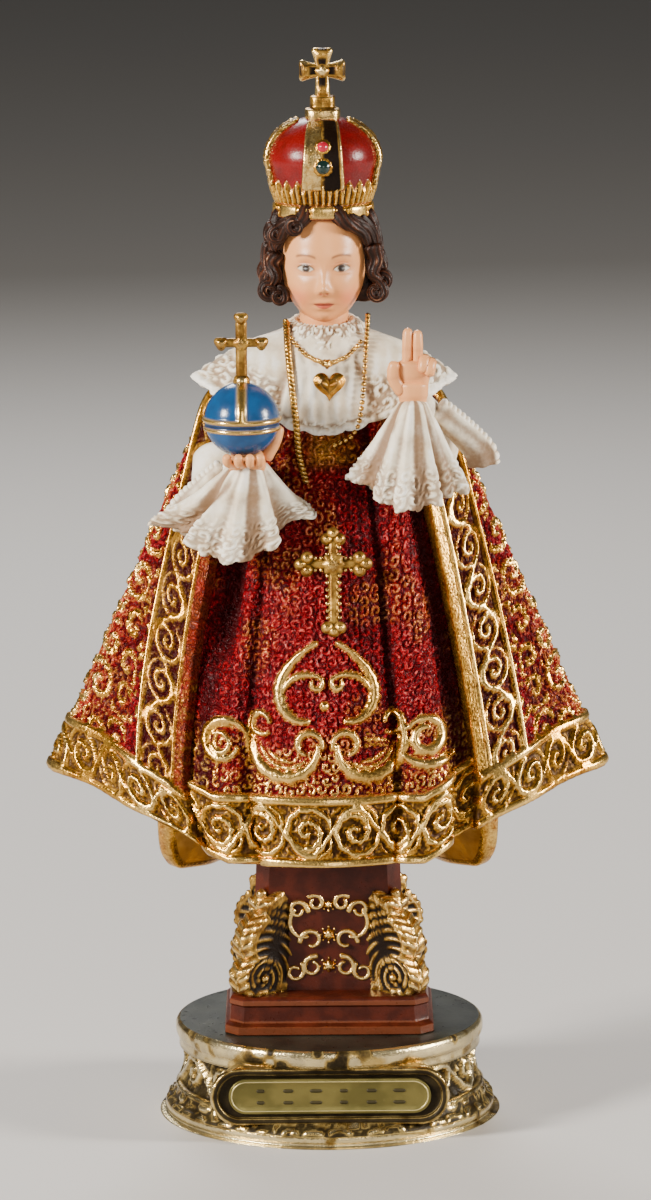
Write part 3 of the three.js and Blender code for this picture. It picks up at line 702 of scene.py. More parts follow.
@dataclass(frozen=True)
class Paint:
    """A glossy paint over cast relief, with a dark wash in the recesses and lighter ridges.

    The wash is partly antiquing and partly painted shade, where the marks lower the relief; the lighter
    ridges are partly worn paint and partly painted highlight.
    """

    name: str
    body: Triple
    tint: Triple
    wash: Triple
    ridge: Triple
    wash_reach: float = 0.55
    wash_share: float = 0.9
    ridge_share: float = 0.3
    metal: float = 0.0
    rough: float = 0.35
    coat: float = 0.0
    gloss: float = 0.2
    grain: float = 3.0
    bump: float = 0.08
    curled: float = 0.0
    gold: Gold | None = None
    painted: bool = False

    def build(self) -> bpy.types.Material:
        """Makes the material.

        Returns:
            The finished material.
        """
        mixer = Mixer(self.name)
        relief = mixer.mark("relief")
        lumps = mixer.noise(self.grain)
        fine = mixer.noise(self.grain * 0.16, 3.0)
        gilt: Wire | float = mixer.mark("gilt") if self.gold is not None else 0.0
        height = fine
        if self.curled > 0.0:
            folds = mixer.noise(self.curled, 0.0, 1.6)
            line = folds.math("PINGPONG", folds * 7.0, 1.0)
            plain = 1.0 - gilt
            relief = relief * (1.0 - plain * 0.62 * (1.0 - line.rise(0.15, 0.75)))
            height = fine * 0.4 + line * plain * 1.6
        colour = mixer.mark("paint", "Color") if self.painted else mixer.mix(lumps.rise(0.35, 0.65),
            self.body, self.tint)
        # Lighter ridges: partly worn paint and partly painted highlight.
        worn = (relief + fine * 0.35).rise(0.8, 1.2)
        colour = mixer.mix(worn * self.ridge_share, colour, self.ridge)
        metal: Wire | float = self.metal
        if self.gold is not None:
            leaf = mixer.mix((lumps * 0.5 + fine * 0.6).rise(0.4, 0.7), self.gold.deep, self.gold.bright)
            # Painted highlight on the gold's ridges.
            leaf = mixer.mix(worn * 0.5, leaf, self.gold.shine)
            colour = mixer.mix(gilt, colour, leaf)
            metal = gilt * self.gold.metal
        # Dark wash: antiquing in the recesses, and painted shade where the marks lower the relief.
        shade_and_wash = (1.0 - (relief + (fine - 0.5) * 0.3).rise(0.02, self.wash_reach)) * self.wash_share
        colour = mixer.mix(shade_and_wash, colour, self.wash)
        mixer.feed(mixer.shader.inputs["Base Color"], colour)
        if isinstance(metal, Wire) or metal > 0.0:
            mixer.feed(mixer.shader.inputs["Metallic"], (1.0 - shade_and_wash) * metal)
        mixer.feed(mixer.shader.inputs["Roughness"], fine * 0.16 + (shade_and_wash * 0.2 + (self.rough - 0.08)))
        mixer.shader.inputs["Specular IOR Level"].default_value = self.gloss
        mixer.shader.inputs["Coat Weight"].default_value = self.coat
        mixer.shader.inputs["Coat Roughness"].default_value = 0.12
        bump = mixer.node("ShaderNodeBump", {},
            {"Height": height, "Strength": 0.8, "Distance": self.bump * MM}, "Normal")
        mixer.feed(mixer.shader.inputs["Normal"], bump)
        return mixer.material


class Finish(Enum):
    """The statuette's paints."""

    ROBE = Paint("robe_paint", (0.32, 0.004, 0.009), (0.20, 0.003, 0.008), (0.010, 0.0006, 0.0008),
        (0.80, 0.15, 0.11), ridge_share=0.6, gold=Gold(), rough=0.24, wash_reach=0.62, bump=0.2, curled=1.9,
        gloss=0.09)
    LINING = Paint("lining_paint", (0.58, 0.26, 0.03), (0.36, 0.14, 0.014), (0.05, 0.018, 0.004),
        (0.95, 0.62, 0.18), metal=0.5, rough=0.22, wash_share=0.6, grain=6.0)
    LACE = Paint("lace_paint", (0.86, 0.78, 0.62), (0.72, 0.60, 0.42), (0.19, 0.088, 0.03),
        (0.96, 0.93, 0.85), wash_reach=0.66, ridge_share=0.8, rough=0.42, gloss=0.3, grain=5.0, bump=0.10)
    SKIN = Paint("skin_paint", (0.70, 0.29, 0.12), (0.66, 0.26, 0.10), (0.42, 0.13, 0.05), (0.9, 0.6, 0.45),
        wash_reach=0.5, wash_share=0.5, ridge_share=0.0, rough=0.36, gloss=0.4, grain=4.0, bump=0.02,
        painted=True)
    # The hair's light ridge colour is painted highlight.
    HAIR = Paint("hair_paint", (0.085, 0.023, 0.008), (0.045, 0.012, 0.004), (0.005, 0.0018, 0.0008),
        (0.66, 0.38, 0.22), ridge_share=0.75, rough=0.28, grain=2.0, wash_reach=0.8, bump=0.14)
    GOLD = Paint("gold_paint", (0.72, 0.38, 0.06), (0.30, 0.13, 0.018), (0.010, 0.004, 0.0015),
        (1.0, 0.76, 0.30), metal=0.95, rough=0.22, gloss=0.1, grain=2.0, bump=0.12, ridge_share=0.55)
    CARVED = Paint("carved_gold_paint", (0.62, 0.35, 0.07), (0.24, 0.11, 0.018), (0.006, 0.0025, 0.001),
        (1.0, 0.74, 0.30), metal=0.95, rough=0.24, gloss=0.1, grain=2.0, bump=0.1, wash_reach=0.75,
        wash_share=1.0, ridge_share=0.7)
    BASE = Paint("antique_gold_paint", (0.62, 0.44, 0.15), (0.24, 0.15, 0.04), (0.006, 0.004, 0.002),
        (1.0, 0.88, 0.54), metal=0.95, rough=0.22, gloss=0.1, ridge_share=0.5, wash_reach=0.66,
        wash_share=0.97, bump=0.12)
    TOP = Paint("dark_disc_paint", (0.032, 0.034, 0.024), (0.016, 0.018, 0.013), (0.008, 0.008, 0.006),
        (0.24, 0.22, 0.14), metal=0.5, rough=0.3, ridge_share=0.15, grain=8.0, bump=0.02)
    BROWN = Paint("brown_paint", (0.062, 0.010, 0.004), (0.036, 0.006, 0.0025), (0.008, 0.003, 0.0015),
        (0.26, 0.08, 0.03), rough=0.3, gold=Gold())
    PLATE = Paint("plate_brass", (0.20, 0.165, 0.05), (0.13, 0.11, 0.032), (0.02, 0.015, 0.006),
        (0.65, 0.55, 0.25), metal=0.7, rough=0.36, grain=5.0, bump=0.01, ridge_share=0.8)
    RED = Paint("crown_paint", (0.15, 0.0008, 0.002), (0.09, 0.0006, 0.0015), (0.010, 0.001, 0.001),
        (0.7, 0.12, 0.08), ridge_share=0.03, rough=0.27, gloss=0.22, gold=Gold(), wash_share=0.97,
        bump=0.04)
    BLUE = Paint("orb_paint", (0.003, 0.045, 0.15), (0.002, 0.028, 0.10), (0.002, 0.006, 0.015),
        (0.15, 0.4, 0.7), ridge_share=0.05, rough=0.2, gloss=0.35, gold=Gold(), bump=0.03)
    DARK_STONE = Paint("dark_stone", (0.01, 0.03, 0.025), (0.005, 0.015, 0.012), (0.0, 0.0, 0.0),
        (0.1, 0.2, 0.18), rough=0.1, coat=0.6, ridge_share=0.0, wash_share=0.0, bump=0.0)
    RED_STONE = Paint("red_stone", (0.45, 0.01, 0.03), (0.3, 0.005, 0.02), (0.0, 0.0, 0.0), (0.8, 0.3, 0.3),
        rough=0.12, coat=0.6, ridge_share=0.0, wash_share=0.0, bump=0.0)


class Workshop:
    """Dresses pieces and attaches them to the frame."""

    def __init__(self) -> None:
        """Starts with no paint."""
        self.paints: dict[Finish, bpy.types.Material] = {}

    def paint(self, finish: Finish) -> bpy.types.Material:
        """The material of a finish, made once.

        Args:
            finish: The finish.

        Returns:
            Its material.
        """
        if finish not in self.paints:
            self.paints[finish] = finish.value.build()
        return self.paints[finish]

    def add(self, piece: Piece, finish: Finish, slot: str, *nodes: str) -> None:
        """Puts a piece in the scene.

        Args:
            piece: The new object.
            finish: Its paint.
            slot: Name of a material slot; not used.
            nodes: Frame nodes that it stands for.
        """
        if piece.name not in bpy.context.scene.collection.objects:
            bpy.context.scene.collection.objects.link(piece)
        piece.data.materials.clear()
        piece.data.materials.append(self.paint(finish))
        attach(piece, "root")
        if nodes:
            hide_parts(*nodes)
        LOG.info("%s: %d faces", piece.name, len(piece.data.polygons))


# The robe


@dataclass(frozen=True)
class Robe:
    """Gown and open mantle, as one bell of cloth. Heights count from the seat on the pedestal."""

    seat: float = SEAT
    hem_front: float = -5.0
    hem_corner: float = 8.6
    hem_back: float = -15.5
    hem_right_rise: float = 1.8
    pit: float = 5.0
    hem_flat_half: float = 17.0
    top: float = 91.5
    shoulder: float = 78.0
    half_width: float = 50.7
    width_slope: float = 0.434
    front_depth: float = 31.0
    front_slope: float = 0.22
    back_depth: float = 28.0
    back_slope: float = 0.17
    hem_thickness: float = 2.2
    hem_roundness: float = 0.55
    mantle_thickness: float = 2.4
    seat_half_width: float = 19.0
    seat_half_depth: float = 14.0
    outline_power: float = 1.6
    corner_turn: float = math.pi / 2
    tuck_turn: float = math.radians(104)
    lobe_turn: float = math.radians(121)
    gown_border: Band = Band(13.0, 9.0)
    mantle_border: Band = Band(10.0, 8.0)
    edge_border: Band = Band(9.0, 7.4, 0.7)
    edging: float = 2.2
    brocade: Curls = Curls(2.2, 1.15, 1.0, 0.5)
    foliage: Curls = Curls(7.0, 2.9, 11.0, 0.1)
    gown_tubes: Table = ((-1.0, -0.6, 2.0), (-0.6, 0.52, 2.4), (0.52, 0.86, 3.0), (0.86, 1.02, 0.4))
    # Painted shade in the gown's folds: place across, half width and strength.
    shadows: Table = ((-0.9, 0.10, 0.8), (-0.6, 0.05, 0.65), (0.36, 0.16, 0.4), (0.52, 0.04, 0.85),
        (0.94, 0.11, 0.95))
    stud: Triple = (-0.5, 25.0, 1.1)

    def edge(self, side: Grid, t: Grid) -> Grid:
        """Angle of the mantle's front edge.

        Args:
            side: -1 for the viewer's left and 1 for the right.
            t: Share of the way up from the hem.

        Returns:
            The angle, 0 at the front.
        """
        right = between(37.0, 49.0, t)
        left = between(31.0, 49.0, held(t) ** 0.6)
        return np.radians(np.where(side > 0, right, left))

    def hem(self, turn: Grid) -> Grid:
        """Height of the hem.

        Args:
            turn: Angle, 0 at the front.

        Returns:
            Its height above the seat.
        """
        away = np.abs(turn)
        x = self.half_width * np.abs(np.sin(away)) ** (2.0 / self.outline_power)
        rise = np.maximum(0.0, (x - self.hem_flat_half) / (self.half_width - self.hem_flat_half))
        lifted = np.where(turn > 0.0, self.hem_right_rise * np.sin(math.pi * held(rise)), 0.0)
        front = between(self.hem_front, self.hem_corner, rise) + lifted
        tucked = between(self.hem_corner, self.hem_corner - 3.0,
            step(away, self.corner_turn, self.tuck_turn))
        fall = step(away, self.tuck_turn, self.lobe_turn) ** 0.6
        return np.where(away <= self.corner_turn, front, between(tucked, self.hem_back, fall))

    def gown_fold(self, g: Grid) -> Grid:
        """How far the gown's tubes of cloth stand out.

        Args:
            g: Share across it, from -1 to 1.

        Returns:
            The distance outwards.
        """
        lift = np.zeros_like(g)
        for start, end, depth in self.gown_tubes:
            inside = (g >= start) & (g < end)
            middle = 2.0 * (g - start) / (end - start) - 1.0
            lift = np.where(inside, depth * held(1.0 - middle ** 2) ** 0.6, lift)
        return lift

    def shade(self, g: Grid, t: Grid) -> Grid:
        """Painted shade in the gown's fold valleys and in the pit under the cuff.

        Args:
            g: Share across it, from -1 to 1.
            t: Share of the way up from the hem.

        Returns:
            From 0 to 1.
        """
        dark = np.zeros_like(g)
        for place, half, share in self.shadows:
            dark = np.maximum(dark, share * peak(g, place, half))
        pit = peak(g, -0.87, 0.13) * step(t, 0.3, 0.45)
        return np.maximum(dark, pit)

    def lift(self, turn: Grid, t: Grid, mantle: Grid | bool) -> Grid:
        """How far the cloth stands out from the plain bell.

        Args:
            turn: Angle, 0 at the front.
            t: Share of the way up from the hem.
            mantle: True on the mantle and False on the gown.

        Returns:
            The distance outwards.
        """
        side = np.where(turn >= 0.0, 1.0, -1.0)
        edge = self.edge(side, t)
        away = np.abs(turn)
        slack = held(1.0 - t) ** 0.7
        pit = self.pit * peak(turn / edge, -0.87, 0.12) * step(t, 0.3, 0.5)
        gown = self.gown_fold(turn / edge) * between(0.35, 1.0, slack) - pit
        share = (away - edge) / (self.corner_turn - edge)
        wave = 0.9 * np.sin(share * math.pi * 3.0) * step(share, 0.0, 0.3)
        front = self.mantle_thickness + slack * wave
        flutes = 0.5 - 0.5 * np.cos((away - self.tuck_turn) * 14.0)
        back = self.mantle_thickness + slack * 2.2 * flutes * step(away, self.corner_turn, self.lobe_turn)
        return np.where(mantle, np.where(away <= self.corner_turn, front, back), gown)

    def point(self, turn: Grid, height: Grid, lift: Grid) -> Grid:
        """Points of the robe.

        Args:
            turn: Angle, 0 at the front.
            height: Height above the seat.
            lift: Distance outwards from the plain bell.

        Returns:
            The points.
        """
        away = np.abs(turn)
        rise = np.maximum(0.0, height - self.hem_corner)
        over = np.maximum(0.0, (height - self.shoulder) / (self.top - self.shoulder))
        rounding = np.sqrt(np.maximum(0.0, 1.0 - over ** 2))
        tuck = between(0.38, 0.04, np.minimum(1.0, rise / (self.shoulder - self.hem_corner)))
        narrow = 1.0 - tuck * step(away, self.corner_turn, self.tuck_turn)
        width = (self.half_width - self.width_slope * rise) * narrow * rounding
        front = (self.front_depth - self.front_slope * (height - self.hem_front)) * rounding
        back = (self.back_depth - self.back_slope * (height - self.hem_back)) * rounding
        depth = np.where(np.cos(turn) >= 0.0, front, back)
        exponent = 2.0 / self.outline_power
        x = width * power(np.sin(turn), exponent) + lift * np.sin(turn)
        y = -depth * power(np.cos(turn), exponent) - lift * np.cos(turn)
        return placed(x, y, height + self.seat)

    def front_at(self, x: float, height: float, lift: float = 0.0) -> Grid:
        """One point of the gown's front.

        Args:
            x: Its place across.
            height: Its height above the seat.
            lift: How far in front of the cloth it is.

        Returns:
            The point.
        """
        rise = max(0.0, height - self.hem_corner)
        width = self.half_width - self.width_slope * rise
        turn = np.array(math.copysign(math.asin(min(1.0, (abs(x) / width) ** (self.outline_power / 2))), x))
        hem = self.hem(turn)
        t = (height - hem) / (self.top - hem)
        return self.point(turn, np.array(height), self.lift(turn, t, False) + lift)

    def scrolls(self) -> list[Scroll]:
        """The gown's raised gold scrolls, seen from the front.

        Returns:
            The scrolls of both sides.
        """
        found = []
        for side in (-1.0, 1.0):
            found += [Scroll(side * 4.0, 26.1, 5.3, side, 100.0, 195.0, 5.3, 1.0),
                Scroll(side * 4.0, 26.0, 5.0, side, 125.0, 100.0, girth=0.6),
                Scroll(side * 2.0, 29.2, 1.35, -side, 90.0, 300.0, girth=0.5),
                Scroll(side * 7.4, 18.0, 7.7, side, 40.0, 215.0, girth=1.1, leafy=1.0),
                Scroll(side * 3.5, 17.6, 2.7, side, 190.0, 260.0, girth=0.65),
                Scroll(side * 12.4, 21.6, 2.3, -side, -60.0, 300.0, girth=0.6)]
        found += [Scroll(18.9, 18.6, 3.7, 1.0, 150.0, 430.0, girth=0.95),
            Scroll(19.0, 21.0, 8.0, 1.0, -50.0, 80.0, girth=0.9, leafy=0.8),
            Scroll(-19.8, 17.6, 4.6, -1.0, 170.0, 330.0, girth=0.8, leafy=0.8),
            Scroll(-20.6, 17.2, 2.2, 1.0, 120.0, 300.0, girth=0.5)]
        return found

    def rolled(self, points: Grid, turn: Grid, under: Grid) -> Grid:
        """Turns the lowest rows in under the hem.

        Args:
            points: The cloth's points.
            turn: Their angles.
            under: 0 on the face and 1 at the inner end.

        Returns:
            The points, turned in.
        """
        inward = placed(-np.sin(turn), np.cos(turn), np.full_like(turn, 0.5))
        turned = points + inward * (self.hem_thickness * under)[..., None]
        turned[..., 2] -= self.hem_roundness * np.sin(math.pi * under)
        return turned

    def hemmed(self, relief: Grid, gilt: Grid, under: Grid) -> Marks:
        """The marks with the roll under the hem gilt, with painted highlight on its outer edge and painted
        shade inwards.
        """
        roll = step(under, 0.0, 0.2)
        return {"relief": between(relief, 0.95 - 0.55 * under, roll), "gilt": np.maximum(gilt, roll)}

    def gown(self, u: Grid, v: Grid) -> Woven:
        """The gown's front, between the mantle's edges, with its brocade and gold border.

        Args:
            u: Share of the way across, from the viewer's left.
            v: Share of the way from the first row to the last.

        Returns:
            Points in millimetres and their marks.
        """
        roll = 0.02
        under = held(1.0 - v / roll)
        share = held((v - roll) / (1.0 - roll))
        hidden = math.radians(2.5)
        left, right = np.array(-1.0), np.array(1.0)
        start = between(-self.edge(left, 0.0 * v) - hidden, self.edge(right, 0.0 * v) + hidden, u)
        hem = self.hem(start)
        height = hem + share * (88.0 - hem)
        t = (height - hem) / (self.top - hem)
        turn = between(-self.edge(left, t) - hidden, self.edge(right, t) + hidden, u)
        points = self.point(turn, height, self.lift(turn, t, False))
        along = run_along(points, 1)
        along = along - along[:, along.shape[1] // 2][:, None]
        up = height - hem
        border = self.gown_border
        in_border = border.inside(up)
        cloth = self.brocade.height(along, up)
        leafy = step(clouds(along, up, 4.0, 2.0), 0.3, 0.6) * fade(up, 19.0, 27.0)
        leafy = np.maximum(leafy, fade(up, 15.0, 19.0))
        big = np.zeros_like(u)
        for scroll in self.scrolls():
            big = np.maximum(big, scroll.height(points[..., 0], height))
        x, z, reach = self.stud
        big = np.maximum(big, 1.0 - np.hypot(points[..., 0] - x, height - z) / reach) * (1.0 - in_border)
        band = border.height(along, up)
        # Painted shade in the folds lowers the relief mark and sinks the cloth a little.
        dark = self.shade(turn / self.edge(np.sign(turn), t), t)
        cloth = cloth * fade(big, 0.0, 0.3)
        relief = np.maximum((0.3 + 0.7 * cloth) * (1.0 - dark), big ** 0.35 * (1.0 - 0.4 * dark))
        relief = between(relief, band * (1.0 - 0.3 * dark), in_border)
        rise = 0.45 * cloth * (1.0 - in_border) + in_border * (0.5 + 1.0 * band) + 1.1 * big - 0.7 * dark
        patch = np.exp(-((points[..., 0] - 1.0) / 4.5) ** 4 - ((height - 73.0) / 3.5) ** 4)
        gilt = held(in_border + step(big, 0.1, 0.35) + 0.9 * leafy * step(cloth, 0.3, 0.7) + 0.6 * patch
            + 0.35 * step(clouds(along, up, 7.0, 5.0), 0.6, 0.8) * step(cloth, 0.5, 0.9))
        covered = step(height, 72.5, 75.0)
        points = self.rolled(raised(points, rise * (1.0 - covered) - 1.2 * covered), turn, under)
        return points, self.hemmed(relief, gilt, under)

    def mantle(self, u: Grid, v: Grid, side: float) -> Woven:
        """One half of the mantle, from its front edge round to the middle of the back.

        Args:
            u: Share of the way round. The front edge is at 0 on the right half and at 1 on the left.
            v: Share of the way from the first row to the last.
            side: -1 for the half at the viewer's left, 1 for the other.

        Returns:
            Points in millimetres and their marks.
        """
        roll, fold = 0.025, 0.014
        reach = u if side > 0 else 1.0 - u
        under = held(1.0 - v / roll)
        share = held((v - roll) / (1.0 - roll))
        inner = held(1.0 - reach / fold)
        out = held((reach - fold) / (1.0 - fold))
        hand = np.full_like(u, side)
        edge_low = self.edge(hand, np.zeros_like(u))
        corner_at = 0.56
        front, back = out / corner_at, (out - corner_at) / (1.0 - corner_at)
        behind = between(self.corner_turn, math.pi, back)
        low_turn = np.where(front < 1.0, between(edge_low, self.corner_turn, front), behind)
        hem = self.hem(low_turn)
        height = hem + share * (self.top - 0.6 - hem)
        t = (height - hem) / (self.top - hem)
        edge = self.edge(hand, t)
        turn = np.where(front < 1.0, between(edge, self.corner_turn, front), behind) * side
        points = self.point(turn, height, self.lift(turn, t, True))
        run = run_along(points, 1)
        start = run[:, :1] if side > 0 else run[:, -1:]
        along = np.abs(run - start)
        up = height - hem
        hem_in = self.mantle_border.inside(up)
        strip = fade(along, self.edging - 0.2, self.edging + 0.2) * (1.0 - hem_in)
        outer = self.edging + self.edge_border.width
        rail = peak(along, outer, 0.75, 4) * (1.0 - hem_in)
        edge_in = self.edge_border.inside(along - self.edging) * (1.0 - hem_in) * (1.0 - strip)
        cloth = self.brocade.height(along, up)
        leaves = self.foliage.height(along, up) * step(clouds(along, up, 10.0, 3.0), 0.2 - 0.12 * side,
            0.45)
        leaves = leaves * (1.0 - strip) * (1.0 - edge_in)
        hem_band = self.mantle_border.height(along, up)
        edge_band = self.edge_border.height(up, along - self.edging)
        # On the left half the edge border and the free strip get a lower relief mark: painted shade.
        relief = between(0.3 + 0.7 * np.maximum(cloth, leaves), edge_band * (0.5 if side < 0 else 1.0),
            edge_in)
        relief = between(relief, hem_band, hem_in)
        relief = np.maximum(between(relief, 0.5 if side < 0 else 0.9, strip), rail)
        # Painted shade in the troughs of the front's broad folds.
        wave = 0.5 + 0.5 * np.sin((np.abs(turn) - edge) / (self.corner_turn - edge) * math.pi * 3.0)
        relief = relief * between(0.5, 1.0, np.where(np.abs(turn) < self.corner_turn, wave, 1.0))
        rise = between(0.45 * cloth + 0.6 * leaves, 0.3 + 0.8 * edge_band, edge_in)
        rise = between(between(rise, 0.5 + 1.0 * hem_band, hem_in), 0.6, strip) + 0.5 * rail
        worn = step(clouds(along, up, 9.0, 8.0), 0.5, 0.8)
        gilt = held(hem_in + rail + strip * (0.12 if side < 0 else 1.0)
            + edge_in * step(edge_band, 0.1, 0.5) + step(leaves, 0.3, 0.6)
            + 0.4 * worn * step(cloth, 0.5, 0.9))
        covered = step(height, 76.5, 79.5) * step(np.abs(turn), 2.3, 2.7)
        rise = rise * (1.0 - inner) * (1.0 - covered) - 1.2 * covered
        points = self.rolled(raised(points, rise), turn, under)
        tuck = placed(-np.sin(turn), np.cos(turn), np.zeros_like(turn))
        return points + tuck * (1.9 * inner)[..., None], self.hemmed(relief, gilt, under)

    def lining(self, u: Grid, v: Grid) -> Woven:
        """The smooth inside of the robe, from the seat out to the hem.

        Args:
            u: Share of the way round.
            v: Share of the way from the first row to the last.

        Returns:
            Points in millimetres and their marks.
        """
        turn = angle_at(u)
        side = np.where(turn >= 0.0, 1.0, -1.0)
        edge = self.edge(side, np.zeros_like(u))
        mantle = np.abs(turn) > edge
        hem = self.hem(turn)
        rim = self.rolled(self.point(turn, hem, self.lift(turn, np.zeros_like(u), mantle)), turn,
            np.ones_like(u) * 0.8)
        seat = placed(self.seat_half_width * np.sin(turn), -self.seat_half_depth * np.cos(turn),
            np.full_like(u, self.seat))
        sag = np.sin(math.pi * v) * 1.2
        points = between(seat, rim, v[..., None])
        points[..., 2] += sag
        relief = 0.55 + 0.45 * clouds(turn * 18.0, v * 20.0, 5.0, 4.0)
        return points, {"relief": relief}

    def build(self, shop: Workshop) -> None:
        """Adds the robe's pieces to the scene.

        Args:
            shop: Takes the pieces.
        """
        shop.add(weave("gown", 240, 280, self.gown), Finish.ROBE, "robe_paint", "figure")
        for name, side in (("mantle_left", -1.0), ("mantle_right", 1.0)):
            half = weave(name, 236, 206, partial(self.mantle, side=side))
            shop.add(half, Finish.ROBE, "robe_paint", "figure")
        lining = weave("lining", 220, 20, self.lining, ring=True)
        shop.add(lining, Finish.LINING, "robe_paint", "figure")


# Lace


@dataclass(frozen=True)
class Collar:
    """Wide lace collar from the neck over the shoulders, pointed at both sides."""

    neck_half: float = 7.6
    neck_height: float = NECK
    thickness: float = 1.1
    lace: Curls = Curls(2.6, 1.35, 21.0)
    scallops: int = 26
    edge: Table = ((0, 0, -14, 18.7), (22, 6.2, -13.8, 17.4), (45, 15, -12.4, 14), (63, 20.6, -9.6, 11.4),
        (80, 25.2, -3.8, 8.8), (104, 21, 6, 11), (140, 13, 12, 13), (180, 0, 14, 14.5))

    def place(self, turn: Grid, share: Grid) -> Grid:
        """Points of the collar.

        Args:
            turn: Angle, 0 at the front.
            share: Share of the way out from the neck.

        Returns:
            The points.
        """
        table = np.array(self.edge)
        degrees = np.degrees(np.abs(turn))
        x = np.interp(degrees, table[:, 0], table[:, 1]) * np.sign(turn)
        y = np.interp(degrees, table[:, 0], table[:, 2])
        drop = np.interp(degrees, table[:, 0], table[:, 3])
        bulge = np.sin(math.pi * held(share))
        front, back = np.maximum(0.0, np.cos(turn)), np.maximum(0.0, -np.cos(turn))
        return placed(between(self.neck_half * np.sin(turn), x, share),
            between(-self.neck_half * 0.9 * np.cos(turn), y, share) - bulge * (2.2 * front - 1.2 * back),
            self.neck_height - drop * share + 1.6 * bulge * np.abs(np.sin(turn)))

    def at(self, x: float, z: float) -> Grid:
        """The point of the collar's front that is seen at a place.

        Args:
            x: Its place across.
            z: Its height.

        Returns:
            The point.
        """
        turn, share = np.meshgrid(np.linspace(-1.5, 1.5, 151), np.linspace(0.0, 1.0, 101))
        points = self.place(turn, share)
        gap = np.hypot(points[..., 0] - x, points[..., 2] - z)
        return points[np.unravel_index(np.argmin(gap), gap.shape)]

    def cloth(self, u: Grid, v: Grid) -> Woven:
        """The collar, with an embossed and scalloped edge.

        Args:
            u: Share of the way round.
            v: Share of the way from the first row to the last.

        Returns:
            Points in millimetres and their marks.
        """
        roll = 0.07
        turn = angle_at(u)
        under = held(1.0 - v / roll)
        out = held((v - roll) / (1.0 - roll))
        scallop = 1.0 + 0.025 * np.abs(np.sin(self.scallops * turn / 2.0))
        share = between((1.0 - out) * scallop, 0.8, under)
        points = self.place(turn, share)
        points[..., 2] -= self.thickness * (under + np.where(under > 0.0, 1.0, 0.0) * under)
        along, up = turn * 17.0, share * 20.0
        chest = fade(np.abs(turn), 0.5, 0.62)
        edging = step(share, between(0.55, 0.86, chest), between(0.68, 0.92, chest))
        curls = self.lace.height(along, up)
        rim = step(share, 0.93, 0.97)
        wear = clouds(along, up, 3.0, 6.0)
        pleat = 0.5 + 0.5 * np.cos(points[..., 0] * 2.6 + 0.6 * np.sin(up * 0.5))
        seam = peak(np.abs(turn), 0.56, 0.05) * step(share, 0.2, 0.4)
        plain = 0.36 + 0.4 * wear + 0.3 * pleat * step(share, 0.25, 0.5)
        relief = between(plain, 0.2 + 0.8 * np.maximum(curls, rim), edging) * (1.0 - 0.75 * seam)
        rise = (0.45 * curls * edging + 0.3 * rim + 0.12 * wear + 0.22 * pleat * chest - 0.4 * seam) * (1.0
            - under)
        return raised(points, rise, ring=True), {"relief": relief}

    def build(self) -> Piece:
        """Makes the collar."""
        return weave("collar", 312, 64, self.cloth, ring=True)


@dataclass(frozen=True)
class Ruff:
    """Standing lace band round the neck."""

    height: float = NECK
    lace: Curls = Curls(1.9, 1.0, 41.0, 0.3)
    table: Table = ((-4.5, 0.0), (-3.6, 6.4), (-3.2, 8.2), (-2.2, 8.5), (-1.0, 7.7), (0.4, 7.3), (1.4, 6.6),
        (1.9, 5.6), (1.4, 4.6), (0.8, 0.0))

    def cloth(self, u: Grid, v: Grid) -> Woven:
        """The ruff.

        Args:
            u: Share of the way round.
            v: Share of the way from the first row to the last.

        Returns:
            Points in millimetres and their marks.
        """
        turn = angle_at(u)
        rise, radius = traced(smooth_path(self.table, 60), v)
        frill = 1.0 + 0.05 * np.cos(turn * 11.0) * step(radius, 5.0, 8.0)
        radius = np.maximum(radius, 0.0) * frill
        points = placed(radius * np.sin(turn), -radius * 0.95 * np.cos(turn) - 0.6,
            self.height + rise - 0.6 * np.cos(turn))
        curls = self.lace.height(turn * 7.5, v * 17.0)
        shown = step(radius, 5.0, 6.5)
        return (raised(points, 0.42 * curls * shown, ring=True), {"relief": 0.12 + 0.88 * curls})

    def build(self) -> Piece:
        """Makes the ruff."""
        return weave("ruff", 200, 44, self.cloth, ring=True)


